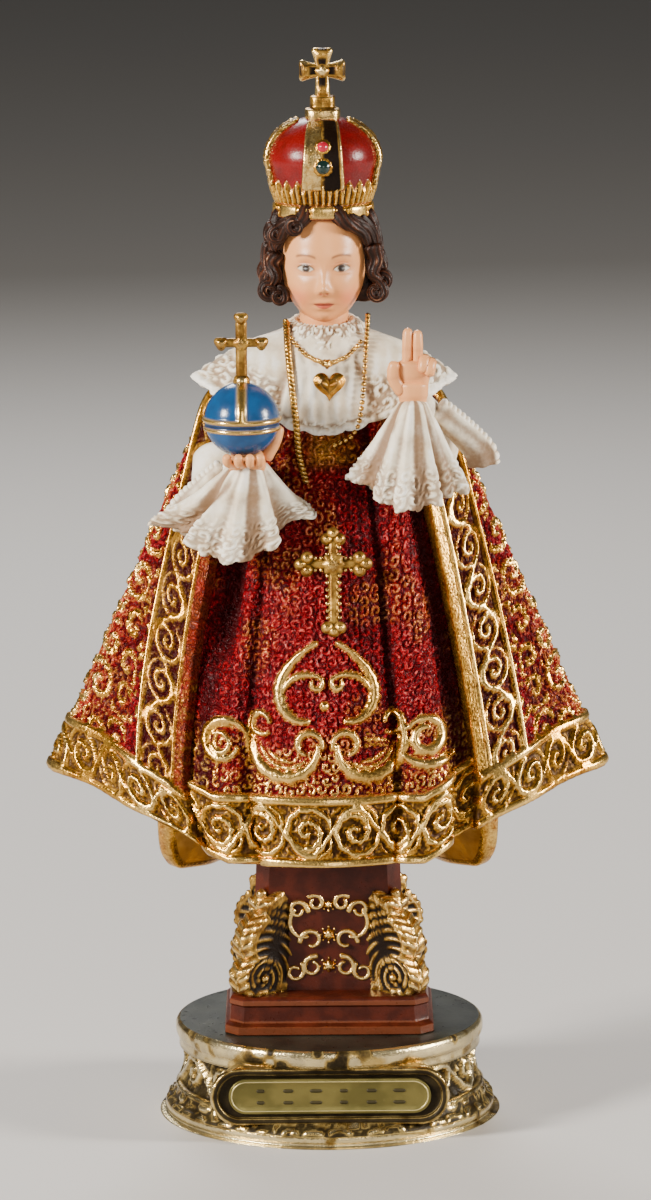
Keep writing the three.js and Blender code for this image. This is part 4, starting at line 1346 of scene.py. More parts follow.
@dataclass(frozen=True)
class Cuff:
    """Hanging lace sleeve end: a fluted cone from the wrist down to a scalloped hem."""

    name: str
    wrist: Triple
    hem: Triple
    half_width: float
    half_depth: float
    left_rise: float
    right_rise: float
    flutes: int
    crease: float = 0.85
    creep: float = 0.0
    lace: Curls = Curls(2.5, 1.3, 31.0)

    def cloth(self, u: Grid, v: Grid) -> Woven:
        """The cuff, open below.

        Args:
            u: Share of the way round.
            v: Share of the way from the first row to the last.

        Returns:
            Points in millimetres and their marks.
        """
        wrist, hem = np.array(self.wrist), np.array(self.hem)
        hollow, lip, close = 0.16, 0.19, 0.985
        turn = angle_at(u)
        inner = held(v / hollow)
        t = 1.0 - held((v - lip) / (close - lip))
        size = np.where(v < hollow, 0.86, 0.86 + 0.14 * step(v, hollow, lip))
        flute = (0.8 * np.cos(self.flutes * turn + 0.6 + 1.1 * np.sin(2.0 * turn + 0.4))
            + 0.45 * np.cos((self.flutes - 4) * turn + 1.2)
            + 0.3 * np.cos(2 * self.flutes * turn + 2.0 + 1.4 * np.sin(turn)))
        fold = turn + self.crease + self.creep * t
        crease = np.maximum(peak(fold, 0.0, 0.16), peak(turn, 0.85, 0.16))
        crease = crease * np.sqrt(np.maximum(t, 0.0)) * (np.cos(turn) > 0)
        rolled = self.creep * peak(fold, -0.32, 0.26) * t
        shadow = self.creep * peak(fold, 0.06, 0.13) * step(t, 0.1, 0.4)
        frill = 1.0 + 0.13 * t ** 0.6 * flute - 0.22 * crease + 0.16 * rolled
        left = self.left_rise * np.maximum(0.0, -np.sin(turn)) ** 1.6
        right = self.right_rise * np.maximum(0.0, np.sin(turn)) ** 1.6
        spread = between(0.24, 1.0, t ** 0.85) * frill * size
        middle = wrist + (hem - wrist) * t[..., None]
        scallop = 0.5 * np.abs(np.sin(self.flutes * 2.5 * turn)) * t ** 12
        points = placed(middle[..., 0] + self.half_width * spread * np.sin(turn),
            middle[..., 1] - self.half_depth * between(0.6, 1.0, t) * frill * size * np.cos(turn),
            middle[..., 2] + (left + right) * t ** 1.5 + 0.35 * t * np.cos(self.flutes * 2 * turn)
            - scallop)
        depth = (1.0 - inner) * (v < hollow)
        points = between(points, hem + np.array([0.0, 0.0, 7.0]), depth[..., None])
        top = held((v - close) / (1.0 - close))[..., None]
        points = between(points, wrist + np.array([0.0, 0.0, 1.0]), top)
        along, up = turn * self.half_width * 0.85, t * 20.0
        curls = self.lace.height(along, up)
        edging = step(t, 0.5, 0.8) * (v >= hollow)
        wear = clouds(along, up, 2.4, 9.0)
        # Painted shade: darker in the flute valleys, in the creases, under the rolled lobe and inside the
        # hollow.
        groove = step(flute, -1.1, 0.5) * (1.0 - 0.85 * crease) * (1.0 - held(1.3 * shadow))
        relief = np.where(v < lip, 0.1 + 0.2 * inner,
            between(0.4 + 0.6 * wear, 0.3 + 0.7 * curls, edging) * between(0.05, 1.0, groove))
        rise = 0.35 * curls * edging + 0.12 * wear
        return raised(points, rise * (v >= hollow), ring=True), {"relief": relief}

    def build(self) -> Piece:
        """Makes the cuff."""
        return weave(self.name, 224, 78, self.cloth, ring=True)


@dataclass(frozen=True)
class Sleeves:
    """Both sleeves: arms, hanging cuffs and the outer edges that droop behind them."""

    orb: Triple = ORB_CENTRE
    orb_radius: float = ORB_RADIUS
    blessing_wrist: Triple = (16.7, -22.5, SEAT + 83.0)
    shoulder: Triple = (19.0, -4.0, SEAT + 70.0)
    droop: Table = ((4.4, 2, -1.4), (8.5, 4, -5.4), (12.8, 6, -10.4), (13.6, 7, -13.6))

    @property
    def orb_wrist(self) -> Triple:
        """Where the hand under the orb meets its sleeve."""
        x, y, z = self.orb
        return x + 1.2, y + 2.0, z - self.orb_radius - 1.6

    def edge_relief(self, u: Grid, v: Grid, side: float) -> Woven:
        """Folds and the scalloped rim of a sleeve's outer edge.

        Args:
            u: Share of the way round.
            v: Share of the length.
            side: -1 for the viewer's left and 1 for the right.

        Returns:
            Height in millimetres and marks.
        """
        edge = step(np.sin(TURN * u) * side, 0.72, 0.9)
        scallop = np.abs(np.sin(v * math.pi * 14.0))
        fold = 0.5 + 0.5 * np.cos(TURN * u * 5.0 + 3.0 * v)
        # Darker in the folds' troughs, with uneven tone, and towards the lower end: painted shade.
        worn = between(0.2, 0.75, fold * clouds(u * 14.0, v * 17.0, 2.0, 4.0))
        plain = worn * between(1.0, 0.3, step(v, 0.6, 0.9))
        height = 0.35 * scallop * edge + 0.3 * fold * (1.0 - edge)
        return height, {"relief": between(plain, 0.2 + 0.8 * scallop, edge)}

    def wing(self, wrist: Triple, side: float) -> Piece:
        """The drooping outer edge of one sleeve."""
        points = [(wrist[0] + side * x, wrist[1] + y, wrist[2] + z) for x, y, z in self.droop]
        return rod("sleeve_edge", points, lambda t: (between(2.2, 3.0, t), between(1.4, 1.2, t)), 56, 70,
            (0.0, -1.0, 0.0), partial(self.edge_relief, side=side))

    def arm_relief(self, u: Grid, v: Grid) -> Woven:
        """Soft wear on a sleeve's upper part."""
        wear = clouds(u * 20.0, v * 26.0, 3.0, 2.0)
        return 0.2 * wear, {"relief": 0.35 + 0.65 * wear}

    def arm(self, wrist: Triple, side: float) -> Piece:
        """One sleeve's upper part.

        Args:
            wrist: Where it ends.
            side: -1 for the viewer's left and 1 for the right.

        Returns:
            The piece.
        """
        x, y, z = self.shoulder
        points = [(side * x, y, z), (side * (x + 1.0), y - 8.0, wrist[2] - 8.0), wrist]
        return rod("sleeve", points, lambda t: (between(6.4, 3.2, t), between(6.4, 3.2, t)), 48, 40,
            relief=self.arm_relief)

    def build(self, shop: Workshop) -> None:
        """Adds both sleeves to the scene.

        Args:
            shop: Takes the pieces.
        """
        wrist, lifted = self.orb_wrist, self.blessing_wrist
        low_hem = (wrist[0] - 2.4, wrist[1] + 3.4, wrist[2] - 18.4)
        lifted_hem = (lifted[0] - 0.9, lifted[1] + 3.4, lifted[2] - 20.2)
        pieces = [Cuff("orb_cuff", wrist, low_hem, 13.9, 7.0, 6.5, 9.5, 9, 0.5, 0.75).build(),
            Cuff("raised_cuff", lifted, lifted_hem, 10.2, 6.6, 5.0, 3.2, 8).build()]
        for place, side in ((wrist, -1.0), (lifted, 1.0)):
            pieces += [self.wing(place, side), self.arm(place, side)]
        for piece in pieces:
            shop.add(piece, Finish.LACE, "robe_paint", "figure")


# Head and hands


@dataclass(frozen=True)
class Tones:
    """Skin and face colours. Shade is a painted shade tone, used under the chin and nose, round the eyes and
    in the creases of the fingers.
    """

    skin: Triple = (0.76, 0.33, 0.12)
    shade: Triple = (0.42, 0.125, 0.045)
    blush: Triple = (0.66, 0.13, 0.05)
    lips: Triple = (0.42, 0.045, 0.03)
    white: Triple = (0.66, 0.56, 0.44)
    iris: Triple = (0.04, 0.018, 0.008)
    dark: Triple = (0.010, 0.005, 0.003)
    brow: Triple = (0.13, 0.045, 0.018)


@dataclass(frozen=True)
class Head:
    """A calm child's head on a short neck. Heights count up from the chin."""

    chin: float = CHIN
    height: float = 25.0
    half_width: float = 8.5
    half_depth: float = 10.0
    eye_line: float = 11.4
    eye_spread: float = 3.4
    nose_line: float = 6.9
    mouth_line: float = 4.3
    brow_line: float = 13.9
    tones: Tones = Tones()

    def bumps(self) -> list[tuple[float, float, float, float, float]]:
        """Forms of the face.

        Returns:
            Height, x, half width, half height and push forward of each.
        """
        found = [(self.nose_line + 0.7, 0.0, 1.1, 1.1, 1.35), (self.nose_line + 2.4, 0.0, 0.85, 2.2, 0.75),
            (self.mouth_line + 0.55, 0.0, 1.9, 0.6, 0.65), (self.mouth_line - 0.6, 0.0, 1.45, 0.55, 0.65),
            (self.mouth_line, 0.0, 1.9, 0.2, -0.35), (self.mouth_line - 1.5, 0.0, 1.6, 0.5, -0.25),
            (1.25, 0.0, 2.3, 1.6, 1.3)]
        for side in (-1.0, 1.0):
            found += [(self.eye_line, side * self.eye_spread, 2.0, 1.5, -1.0),
                (self.eye_line - 0.1, side * self.eye_spread, 1.3, 0.85, 0.75),
                (self.eye_line + 0.75, side * self.eye_spread, 1.5, 0.28, 0.28),
                (self.eye_line - 0.85, side * self.eye_spread, 1.3, 0.25, 0.12),
                (self.nose_line + 0.35, side * 0.95, 0.5, 0.55, 0.55),
                (self.nose_line - 0.15, side * 0.55, 0.28, 0.22, -0.35), (6.2, side * 4.4, 2.8, 2.8, 0.75),
                (self.brow_line, side * 3.4, 2.2, 0.9, 0.25)]
        return found

    def paint(self, x: Grid, h: Grid, front: Grid) -> Grid:
        """Colours of the face.

        Args:
            x: Place across.
            h: Height above the chin.
            front: 1 on the face and 0 behind the ears.

        Returns:
            The colours.
        """
        tones = self.tones
        colour = np.broadcast_to(np.array(tones.skin), x.shape + (3,)).copy()

        def lay(mask: Grid, tone: Triple) -> None:
            """Lays a tone over the colour where the mask is above 0."""
            nonlocal colour
            colour = between(colour, np.array(tone), held(mask * front)[..., None])

        def spot(cx: float, ch: float, wide: float, tall: float) -> Grid:
            """A soft round spot, 1 at its centre."""
            return np.exp(-((x - cx) / wide) ** 2 - ((h - ch) / tall) ** 2)

        # Painted shade under the chin and under the nose.
        lay(0.35 * fade(h, 0.0, 3.0), tones.shade)
        lay(0.5 * spot(0.0, self.nose_line - 0.3, 1.3, 0.6), tones.shade)
        for side in (-1.0, 1.0):
            cx = side * self.eye_spread
            out = (x - cx) * side
            lay(0.62 * spot(side * 4.9, 5.6, 2.2, 2.0), tones.blush)
            # Painted shade in the eye socket.
            lay(0.55 * spot(cx, self.eye_line + 0.3, 2.1, 1.3), tones.shade)
            upper = self.eye_line + 0.85 - 0.3 * out ** 2 + 0.08 * out
            lower = self.eye_line - 0.6 + 0.24 * out ** 2
            opening = step(upper - h, -0.05, 0.12) * step(h - lower, -0.05, 0.12) * (np.abs(out) < 1.6)
            lay(opening, tones.white)
            lay(opening * fade(np.hypot(x - cx, h - self.eye_line - 0.1), 0.66, 0.82), tones.iris)
            lay(opening * fade(np.hypot(x - cx, h - self.eye_line - 0.1), 0.34, 0.48), tones.dark)
            lid = peak(h, upper, 0.19) * fade(np.abs(out), 1.5, 1.8)
            lay(0.95 * lid, tones.dark)
            lay(0.5 * peak(h, lower, 0.1) * fade(np.abs(out), 1.2, 1.6), tones.brow)
            # Painted shade in the crease above the lid.
            lay(0.45 * peak(h - upper, 0.55, 0.14) * fade(np.abs(out), 1.2, 1.7), tones.shade)
            arc = self.brow_line + 0.25 - 0.13 * (out - 0.2) ** 2
            lay(0.8 * peak(h, arc, 0.27) * fade(np.abs(out), 1.6, 2.1), tones.brow)
            lay(0.8 * spot(side * 0.6, self.nose_line - 0.25, 0.28, 0.2), tones.lips)
        smile = self.mouth_line + 0.05 * x ** 2
        bow = smile + 0.62 - 0.14 * x ** 2 - 0.16 * peak(x, 0.0, 0.4)
        below = smile - 0.78 + 0.2 * x ** 2
        lay(0.85 * step(bow - h, -0.1, 0.12) * step(h - below, -0.1, 0.12) * (np.abs(x) < 2.0), tones.lips)
        lay(0.75 * peak(h, smile, 0.11) * fade(np.abs(x), 1.7, 2.1), tones.dark)
        return colour

    def face(self, u: Grid, v: Grid) -> Woven:
        """The head with its face.

        Args:
            u: Share of the way round.
            v: Share of the way from the first row to the last.

        Returns:
            Points in millimetres and their marks.
        """
        angle = angle_at(u)
        turn = angle - 0.5 * np.sin(angle)
        full = held(1.0 - np.abs(2.0 * v - 1.0) ** 2.3) ** (1.0 / 2.3)
        h = v * self.height
        x = self.half_width * full * between(0.84, 1.0, step(v, 0.0, 0.42)) * np.sin(turn)
        y = -self.half_depth * full * between(0.86, 1.0, step(v, 0.0, 0.3)) * np.cos(turn)
        front = step(np.cos(turn), 0.0, 0.3)
        for height, middle, wide, tall, push in self.bumps():
            y = y - push * np.exp(-((x - middle) / wide) ** 2 - ((h - height) / tall) ** 2) * front
        points = placed(x, y, h + self.chin)
        return points, {"relief": np.ones_like(u), "paint": self.paint(x, h, front)}

    def skin(self, u: Grid, v: Grid) -> Woven:
        """Plain skin on the neck."""
        return np.zeros_like(u), {"paint": np.tile(self.tones.skin, u.shape + (1,))}

    def build(self, shop: Workshop) -> None:
        """Adds the head and neck to the scene.

        Args:
            shop: Takes the pieces.
        """
        shop.add(weave("head", 144, 164, self.face, ring=True), Finish.SKIN, "robe_paint", "figure")
        neck = rod("neck", [(0.0, 0.6, self.chin - 7.0), (0.0, 0.2, self.chin + 5.0)],
            lambda t: (np.full_like(t, 4.7), np.full_like(t, 4.7)), 40, 12, relief=self.skin)
        shop.add(neck, Finish.SKIN, "robe_paint", "figure")


@dataclass(frozen=True)
class Hair:
    """Wavy hair, full at the jaw and parted over the forehead."""

    chin: float = CHIN
    rise: float = 20.8
    head_half: float = 8.5
    set_back: float = 2.2
    locks: int = 10
    rings: Table = ((0.26, 0, 54), (0.21, 1.13, 56), (0.31, 1.4, 54), (0.46, 1.49, 51), (0.64, 1.46, 48),
        (0.79, 1.4, 42), (0.9, 1.29, 34), (1.07, 1.14, 20), (1.09, 0, 0))
    trim: tuple[float, float] = (1.2, 1.7)
    paths: Table = (
        (1.5, -2, -7.6, 23.4, -4.6, -8.8, 20.4, -6.6, -8, 19.2, -8, -6.6, 17.2, -8.9, -5.6, 14.6),
        (1.5, -4.2, -7.6, 20.6, -6.8, -7.2, 19.8, -8.8, -5.2, 18.2, -9.6, -4.2, 15.4, -9, -5, 12.6),
        (1.5, -9, -5, 14.4, -9.7, -4.6, 11.6, -9.2, -5.4, 9.4, -10, -4.4, 7.6, -9.4, -5, 6.4),
        (1.5, -9.9, -2.8, 16, -10.6, -2.4, 12.4, -10, -3.6, 9.8, -11.2, -2.8, 7.6, -11.6, -2.4, 6),
        (1.3, -9.2, -3.6, 19.6, -10.2, -2.4, 17.8, -10, -2.8, 15.6, -10.8, -1.8, 13.4, -10.4, -2.2, 11.2),
        (1.5, 1.2, -7.6, 23.4, 4, -9, 20.6, 6, -8.4, 19.4, 7.6, -7, 17.8, 8.6, -6, 15.4),
        (1.4, 4, -8, 21, 6.6, -7.2, 19.8, 8.2, -6, 18.2, 9.2, -4.6, 15.8, 9.6, -4.4, 12.8),
        (1.4, 6.2, -6.4, 20.8, 8.2, -5, 19, 9.4, -3.4, 17, 10.4, -2.2, 14.2, 10.9, -2.4, 11.4),
        (1.5, 9.2, -5.6, 15.8, 9.9, -5.2, 12.8, 9.4, -5.6, 10.2, 10.4, -4.8, 8.2, 9.8, -5, 6.6),
        (1.4, 9.9, -3.2, 14.2, 10.9, -2.8, 11.6, 10.6, -3.2, 9.4, 11.6, -2.8, 7.4, 11.2, -3, 5.8),
        (1.8, 7.2, -2.2, 21.6, 8.4, -3, 20, 9.1, -2.8, 17.8, 9.6, -2.4, 15, 9.8, -1.8, 11),
        (1.6, 7.4, 0, 21.2, 8.8, -0.6, 19.4, 9.8, -0.8, 17, 10.4, -0.6, 14, 10.6, -0.2, 10.6),
        (1.8, -7.2, -2.2, 21.6, -8.3, -3, 20, -9, -2.8, 17.8, -9.4, -2.4, 15, -9.6, -1.8, 11),
        (1.6, -7.4, 0, 21.2, -8.7, -0.6, 19.4, -9.6, -0.8, 17, -10.2, -0.6, 14, -10.4, -0.2, 10.6))
    ringlets: Table = ((-10.2, -4.6, 6.6, 1.7, -1), (-8.6, -5.4, 5.8, 1.3, 1), (-5.4, -9.2, 19.6, 1.3, -1),
        (-8.6, -6.2, 17.6, 1.3, -1), (10, -4.8, 6.4, 1.6, 1), (11, -3.6, 8.4, 1.4, 1))

    def mass(self, u: Grid, v: Grid) -> Woven:
        """The carved mass of hair.

        Args:
            u: Share of the way round.
            v: Share of the way from the first row to the last.

        Returns:
            Points in millimetres and their marks.
        """
        table = np.array(self.rings)
        scaled = np.stack([table[:, 0] * self.rise, table[:, 1] * self.head_half, table[:, 2] / 5.0],
            axis=1)
        turn = angle_at(u)
        height, width, opening = traced(smooth_path(scaled, 140), v)
        width = np.maximum(width, 0.0)
        spread = np.radians(opening * 5.0)
        open_front = fade(np.abs(turn), spread - 0.1, spread + 0.1)
        sway = 1.7 * np.sin(v * 9.6)
        wave = 1.1 * np.cos(self.locks * turn + sway) * step(width, 1.0, 8.0)
        left, right = self.trim
        high = step(height, 0.45 * self.rise, 0.6 * self.rise)
        trim = left * np.maximum(0.0, -np.sin(turn)) * high
        trim = trim + right * np.maximum(0.0, np.sin(turn)) * between(0.6, 1.0, high)
        reach = np.maximum(width - 0.8 + wave - trim, 0.0) * (1.0 - 0.45 * open_front)
        points = placed(reach * np.sin(turn), self.set_back - reach * 0.94 * np.cos(turn),
            self.chin + height)
        strand = np.abs(np.sin(turn * 30.0 + 3.2 * np.sin(v * 17.0 + turn * 3.0) + sway))
        strand = strand * between(0.5, 1.0, clouds(turn * 11.0, height, 2.2, 3.0))
        tuft = 0.5 + 0.5 * np.cos(self.locks * turn + sway)
        relief = held(0.1 + 0.9 * strand ** 2.2 * between(0.3, 1.0, tuft))
        return (raised(points, 0.42 * strand * step(width, 2.0, 8.0), ring=True), {"relief": relief})

    def strands(self, u: Grid, v: Grid, start: Sequence[float]) -> Woven:
        """Fine strands along a lock.

        Args:
            u: Share of the way round.
            v: Share of the length.
            start: Where the lock starts, which sets how they wander.

        Returns:
            Height in millimetres and marks.
        """
        drift = 1.6 * np.sin(5.0 * v + start[0]) + 0.8 * np.sin(13.0 * v + start[2])
        wear = clouds(u * 9.0, v * 9.0, 1.6, start[0])
        strand = np.abs(np.sin(TURN * u * 4.0 + drift)) * between(0.4, 1.0, wear)
        return 0.26 * strand, {"relief": 0.05 + 0.95 * strand ** 2.4}

    def lock(self, points: Sequence[Sequence[float]], girth: float) -> Piece:
        """One flat lock of hair."""
        lifted = [(x, y, z + self.chin) for x, y, z in points]
        return rod("lock", lifted, lambda t: (girth * (1.15 - 0.75 * t), 0.62 * girth * (1.1 - 0.55 * t)),
            40, 32, relief=partial(self.strands, start=points[0]))

    def ringlet(self, x: float, y: float, z: float, size: float, side: float) -> Piece:
        """A ringlet that winds in on itself at the end of the hair."""
        line = Scroll(x, z, size, side, 110.0, 430.0).points(14)
        return self.lock([(px, y - 0.05 * index, pz) for index, (px, pz) in enumerate(line)], 0.95)

    def build(self, shop: Workshop) -> None:
        """Adds the hair to the scene.

        Args:
            shop: Takes the pieces.
        """
        shop.add(weave("hair", 280, 76, self.mass, ring=True), Finish.HAIR, "robe_paint", "figure")
        locks = [self.lock(np.reshape(line, (-1, 3)), girth) for girth, *line in self.paths]
        locks += [self.ringlet(*row) for row in self.ringlets]
        shop.add(joined("locks", locks), Finish.HAIR, "robe_paint", "figure")


@dataclass(frozen=True)
class Hands:
    """The raised hand and the hand under the orb."""

    sleeves: Sleeves = Sleeves()
    palm: float = 7.6
    finger: float = 6.6
    tones: Tones = Tones()

    def skin(self, u: Grid, v: Grid) -> Woven:
        """Skin with painted shade in the creases of the joints."""
        crease = 0.4 * peak(v, 0.08, 0.1) + 0.25 * peak(v, 0.55, 0.05)
        return np.zeros_like(u), {
            "paint": between(np.array(self.tones.skin), np.array(self.tones.shade), crease[..., None])}

    def limb(self, points: Sequence[Sequence[float]], start: float, end: float, flat: float = 1.0,
             steps: int = 24) -> Piece:
        """A finger or palm: a rod with soft joints.

        Args:
            points: Points along its middle.
            start: Half width where it starts.
            end: Half width where it ends.
            flat: Thickness over width.
            steps: Faces along it.

        Returns:
            The piece.
        """

        def girth(t: Grid) -> tuple[Grid, Grid]:
            """The limb's girth, drawn in at the middle joint.

            Args:
                t: Share of the length.

            Returns:
                Half width and half thickness.
            """
            half = between(start, end, t)
            soft = 1.0 - 0.06 * np.sin(TURN * t)
            return half * soft, half * flat * soft

        return rod("limb", points, girth, 24, steps, relief=self.skin)

    def blessing(self) -> Piece:
        """The raised hand: palm outwards, two fingers up, two bent and the thumb out.

        Returns:
            The hand.
        """
        x, y, z = self.sleeves.blessing_wrist
        middle = z + self.palm * 0.55
        root = middle + self.palm * 0.4
        top = y - 0.3
        wrist = self.limb([(x, y + 0.4, z - 3.0), (x, y, z + 0.4), (x, y, middle)], 2.5, 2.9, 0.85)
        palm = self.limb([(x + 0.1, y, z + 0.2), (x + 0.1, y, middle), (x + 0.1, y - 0.1, root + 1.0)], 2.9,
            3.2, 0.58)
        parts = [wrist, palm]
        for low, mid, tip, over in ((-1.1, -1.0, -0.85, 0.4), (0.9, 0.95, 0.95, 0.0)):
            finger = [(x + low, top, root - 2.0), (x + mid, top - 0.1, root + 3.0),
                (x + tip, top + 0.2, root + self.finger + over)]
            parts.append(self.limb(finger, 1.15, 0.86))
        thumb = [(x - 1.6, y - 0.4, middle - 2.4), (x - 3.3, y - 1.0, middle - 0.2),
            (x - 3.7, y - 1.3, middle + 1.8), (x - 3.3, y - 1.5, middle + 3.9)]
        parts.append(self.limb(thumb, 1.6, 0.95))
        for out, low in ((2.3, 0.5), (3.5, 1.1)):
            knuckle = root + 1.4 - low
            bent = [(x + out * 0.85, y + 0.1, root - 2.4), (x + out, y - 0.9, knuckle),
                (x + out - 0.2, y - 1.9, knuckle - 0.6), (x + out - 0.5, y - 2.2, knuckle - 2.4)]
            parts.append(self.limb(bent, 1.15, 0.95))
        return joined("raised_hand", parts)

    def holding(self) -> Piece:
        """The other hand: a cupped palm with the finger tips up round the orb.

        Returns:
            The hand.
        """
        x, y, z = self.sleeves.orb
        radius = self.sleeves.orb_radius
        low = z - radius
        palm = [(x - 2.6, y + 0.5, low - 0.9), (x + 0.8, y + 0.2, low - 1.3), (x + 4.4, y + 0.5, low - 0.7)]
        wrist = [(x + 1.2, y + 2.0, low - 5.0), (x + 0.9, y + 1.2, low - 1.0)]
        parts = [self.limb(palm, 2.1, 2.1, 1.2), self.limb(wrist, 3.0, 3.2, 0.9, 12)]
        for place, reach in ((-2.6, 0.9), (-0.6, 1.0), (1.4, 1.0), (3.2, 0.9)):
            out = radius * 0.7 * reach
            finger = [(x + 0.8 + place * 0.75, y - 0.9, low - 1.5),
                (x + place * 1.05, y - out * 0.85, low - 0.6),
                (x + place * 1.08, y - out * 1.08, low + 1.1)]
            parts.append(self.limb(finger, 1.0, 0.78))
        thumb = [(x + 4.2, y + 0.5, low - 0.8), (x + radius * 0.86, y + 0.6, z - radius * 0.66),
            (x + radius * 1.02, y + 1.2, z - radius * 0.2)]
        parts.append(self.limb(thumb, 1.4, 0.9))
        return joined("orb_hand", parts)

    def build(self, shop: Workshop) -> None:
        """Adds both hands to the scene."""
        shop.add(self.blessing(), Finish.SKIN, "robe_paint", "figure")
        shop.add(self.holding(), Finish.SKIN, "robe_paint", "figure")


# Jewels, orb and crown


def button(
    name: str,
    centre: Sequence[float],
    outline: Pair,
    depth: float,
    lean: float = 0.0,
    columns: int = 40,
    rows: int = 12,
    back: float = 0.6,
    crest: float = 2.0,
    facing: float = 0.0,
    tone: float = 1.0,
) -> Piece:
    """A rounded boss of any outline, facing the front.

    Args:
        name: The piece's name.
        centre: Its middle, in millimetres.
        outline: x and z of its rim at a share of the way round.
        depth: How far its middle stands out.
        lean: Tilt back of its top, in radians.
        columns: Faces round it.
        rows: Faces from its back to its middle.
        back: How far it goes in behind its rim.
        crest: Power of its rounding, low for a cone and high for a flat top.
        facing: Turn about the vertical, in radians, 0 for the front.
        tone: How bright its paint is, from 0 for the dark wash to 1.

    Returns:
        The boss.
    """

    def shape(u: Grid, v: Grid) -> Woven:
        """The boss's surface, from the middle of its back to the middle of its front.

        Args:
            u: Share of the way round.
            v: Share of the way to the front.

        Returns:
            Points in millimetres and their marks.
        """
        x, z = outline(u)
        out = held((v - 0.2) / 0.8)
        rear = held(1.0 - v / 0.2)
        size = (1.0 - out) * (1.0 - rear)
        y = -depth * (1.0 - size ** crest) * (v > 0.2) + back * rear
        x, z = x * size, z * size
        tilted_y = y * math.cos(lean) + z * math.sin(lean)
        tilted_z = z * math.cos(lean) - y * math.sin(lean)
        turned_x = x * math.cos(facing) - tilted_y * math.sin(facing)
        turned_y = x * math.sin(facing) + tilted_y * math.cos(facing)
        points = placed(centre[0] + turned_x, centre[1] + turned_y, centre[2] + tilted_z)
        relief = tone * held(0.3 + 1.1 * out)
        return points, {"relief": relief}

    return weave(name, columns, rows, shape, ring=True)


def round_outline(radius: float, lobes: int = 0, swell: float = 0.0) -> Pair:
    """A circle, or a rosette, for button.

    Args:
        radius: Its radius.
        lobes: How many lobes it has.
        swell: How far they stand out, as a share of the radius.

    Returns:
        Its outline.
    """

    def outline(u: Grid) -> tuple[Grid, Grid]:
        """The rim of the circle or rosette.

        Args:
            u: Share of the way round.

        Returns:
            Its x and z.
        """
        turn = angle_at(u)
        reach = radius * (1.0 + swell * np.cos(lobes * turn))
        return reach * np.sin(turn), -reach * np.cos(turn)

    return outline


def heart_outline(width: float) -> Pair:
    """A heart with its point down, for button.

    Args:
        width: Its width.

    Returns:
        Its outline.
    """

    def outline(u: Grid) -> tuple[Grid, Grid]:
        """The rim of the heart.

        Args:
            u: Share of the way round.

        Returns:
            Its x and z.
        """
        turn = angle_at(u)
        x = np.sin(turn) ** 3
        z = -(13 * np.cos(turn + math.pi) - 5 * np.cos(2 * turn) + 2 * np.cos(3 * turn)
            - np.cos(4 * turn)) / 16
        return x * width / 2.0, -z * width / 2.0

    return outline


def stem(name: str, start: Sequence[float], end: Sequence[float], wide: float, thick: float,
         waist: float = 0.0) -> Piece:
    """A straight bar with rounded sides, narrower in its middle by waist."""
    middle = [(a + b) / 2.0 for a, b in zip(start, end)]
    return rod(name, [start, middle, end],
        lambda t: (wide * (1.0 - waist * np.sin(math.pi * t)), np.full_like(t, thick)), 16, 24,
        relief=lambda u, v: (0.0 * u, {"relief": 0.45 + 0.0 * u}))


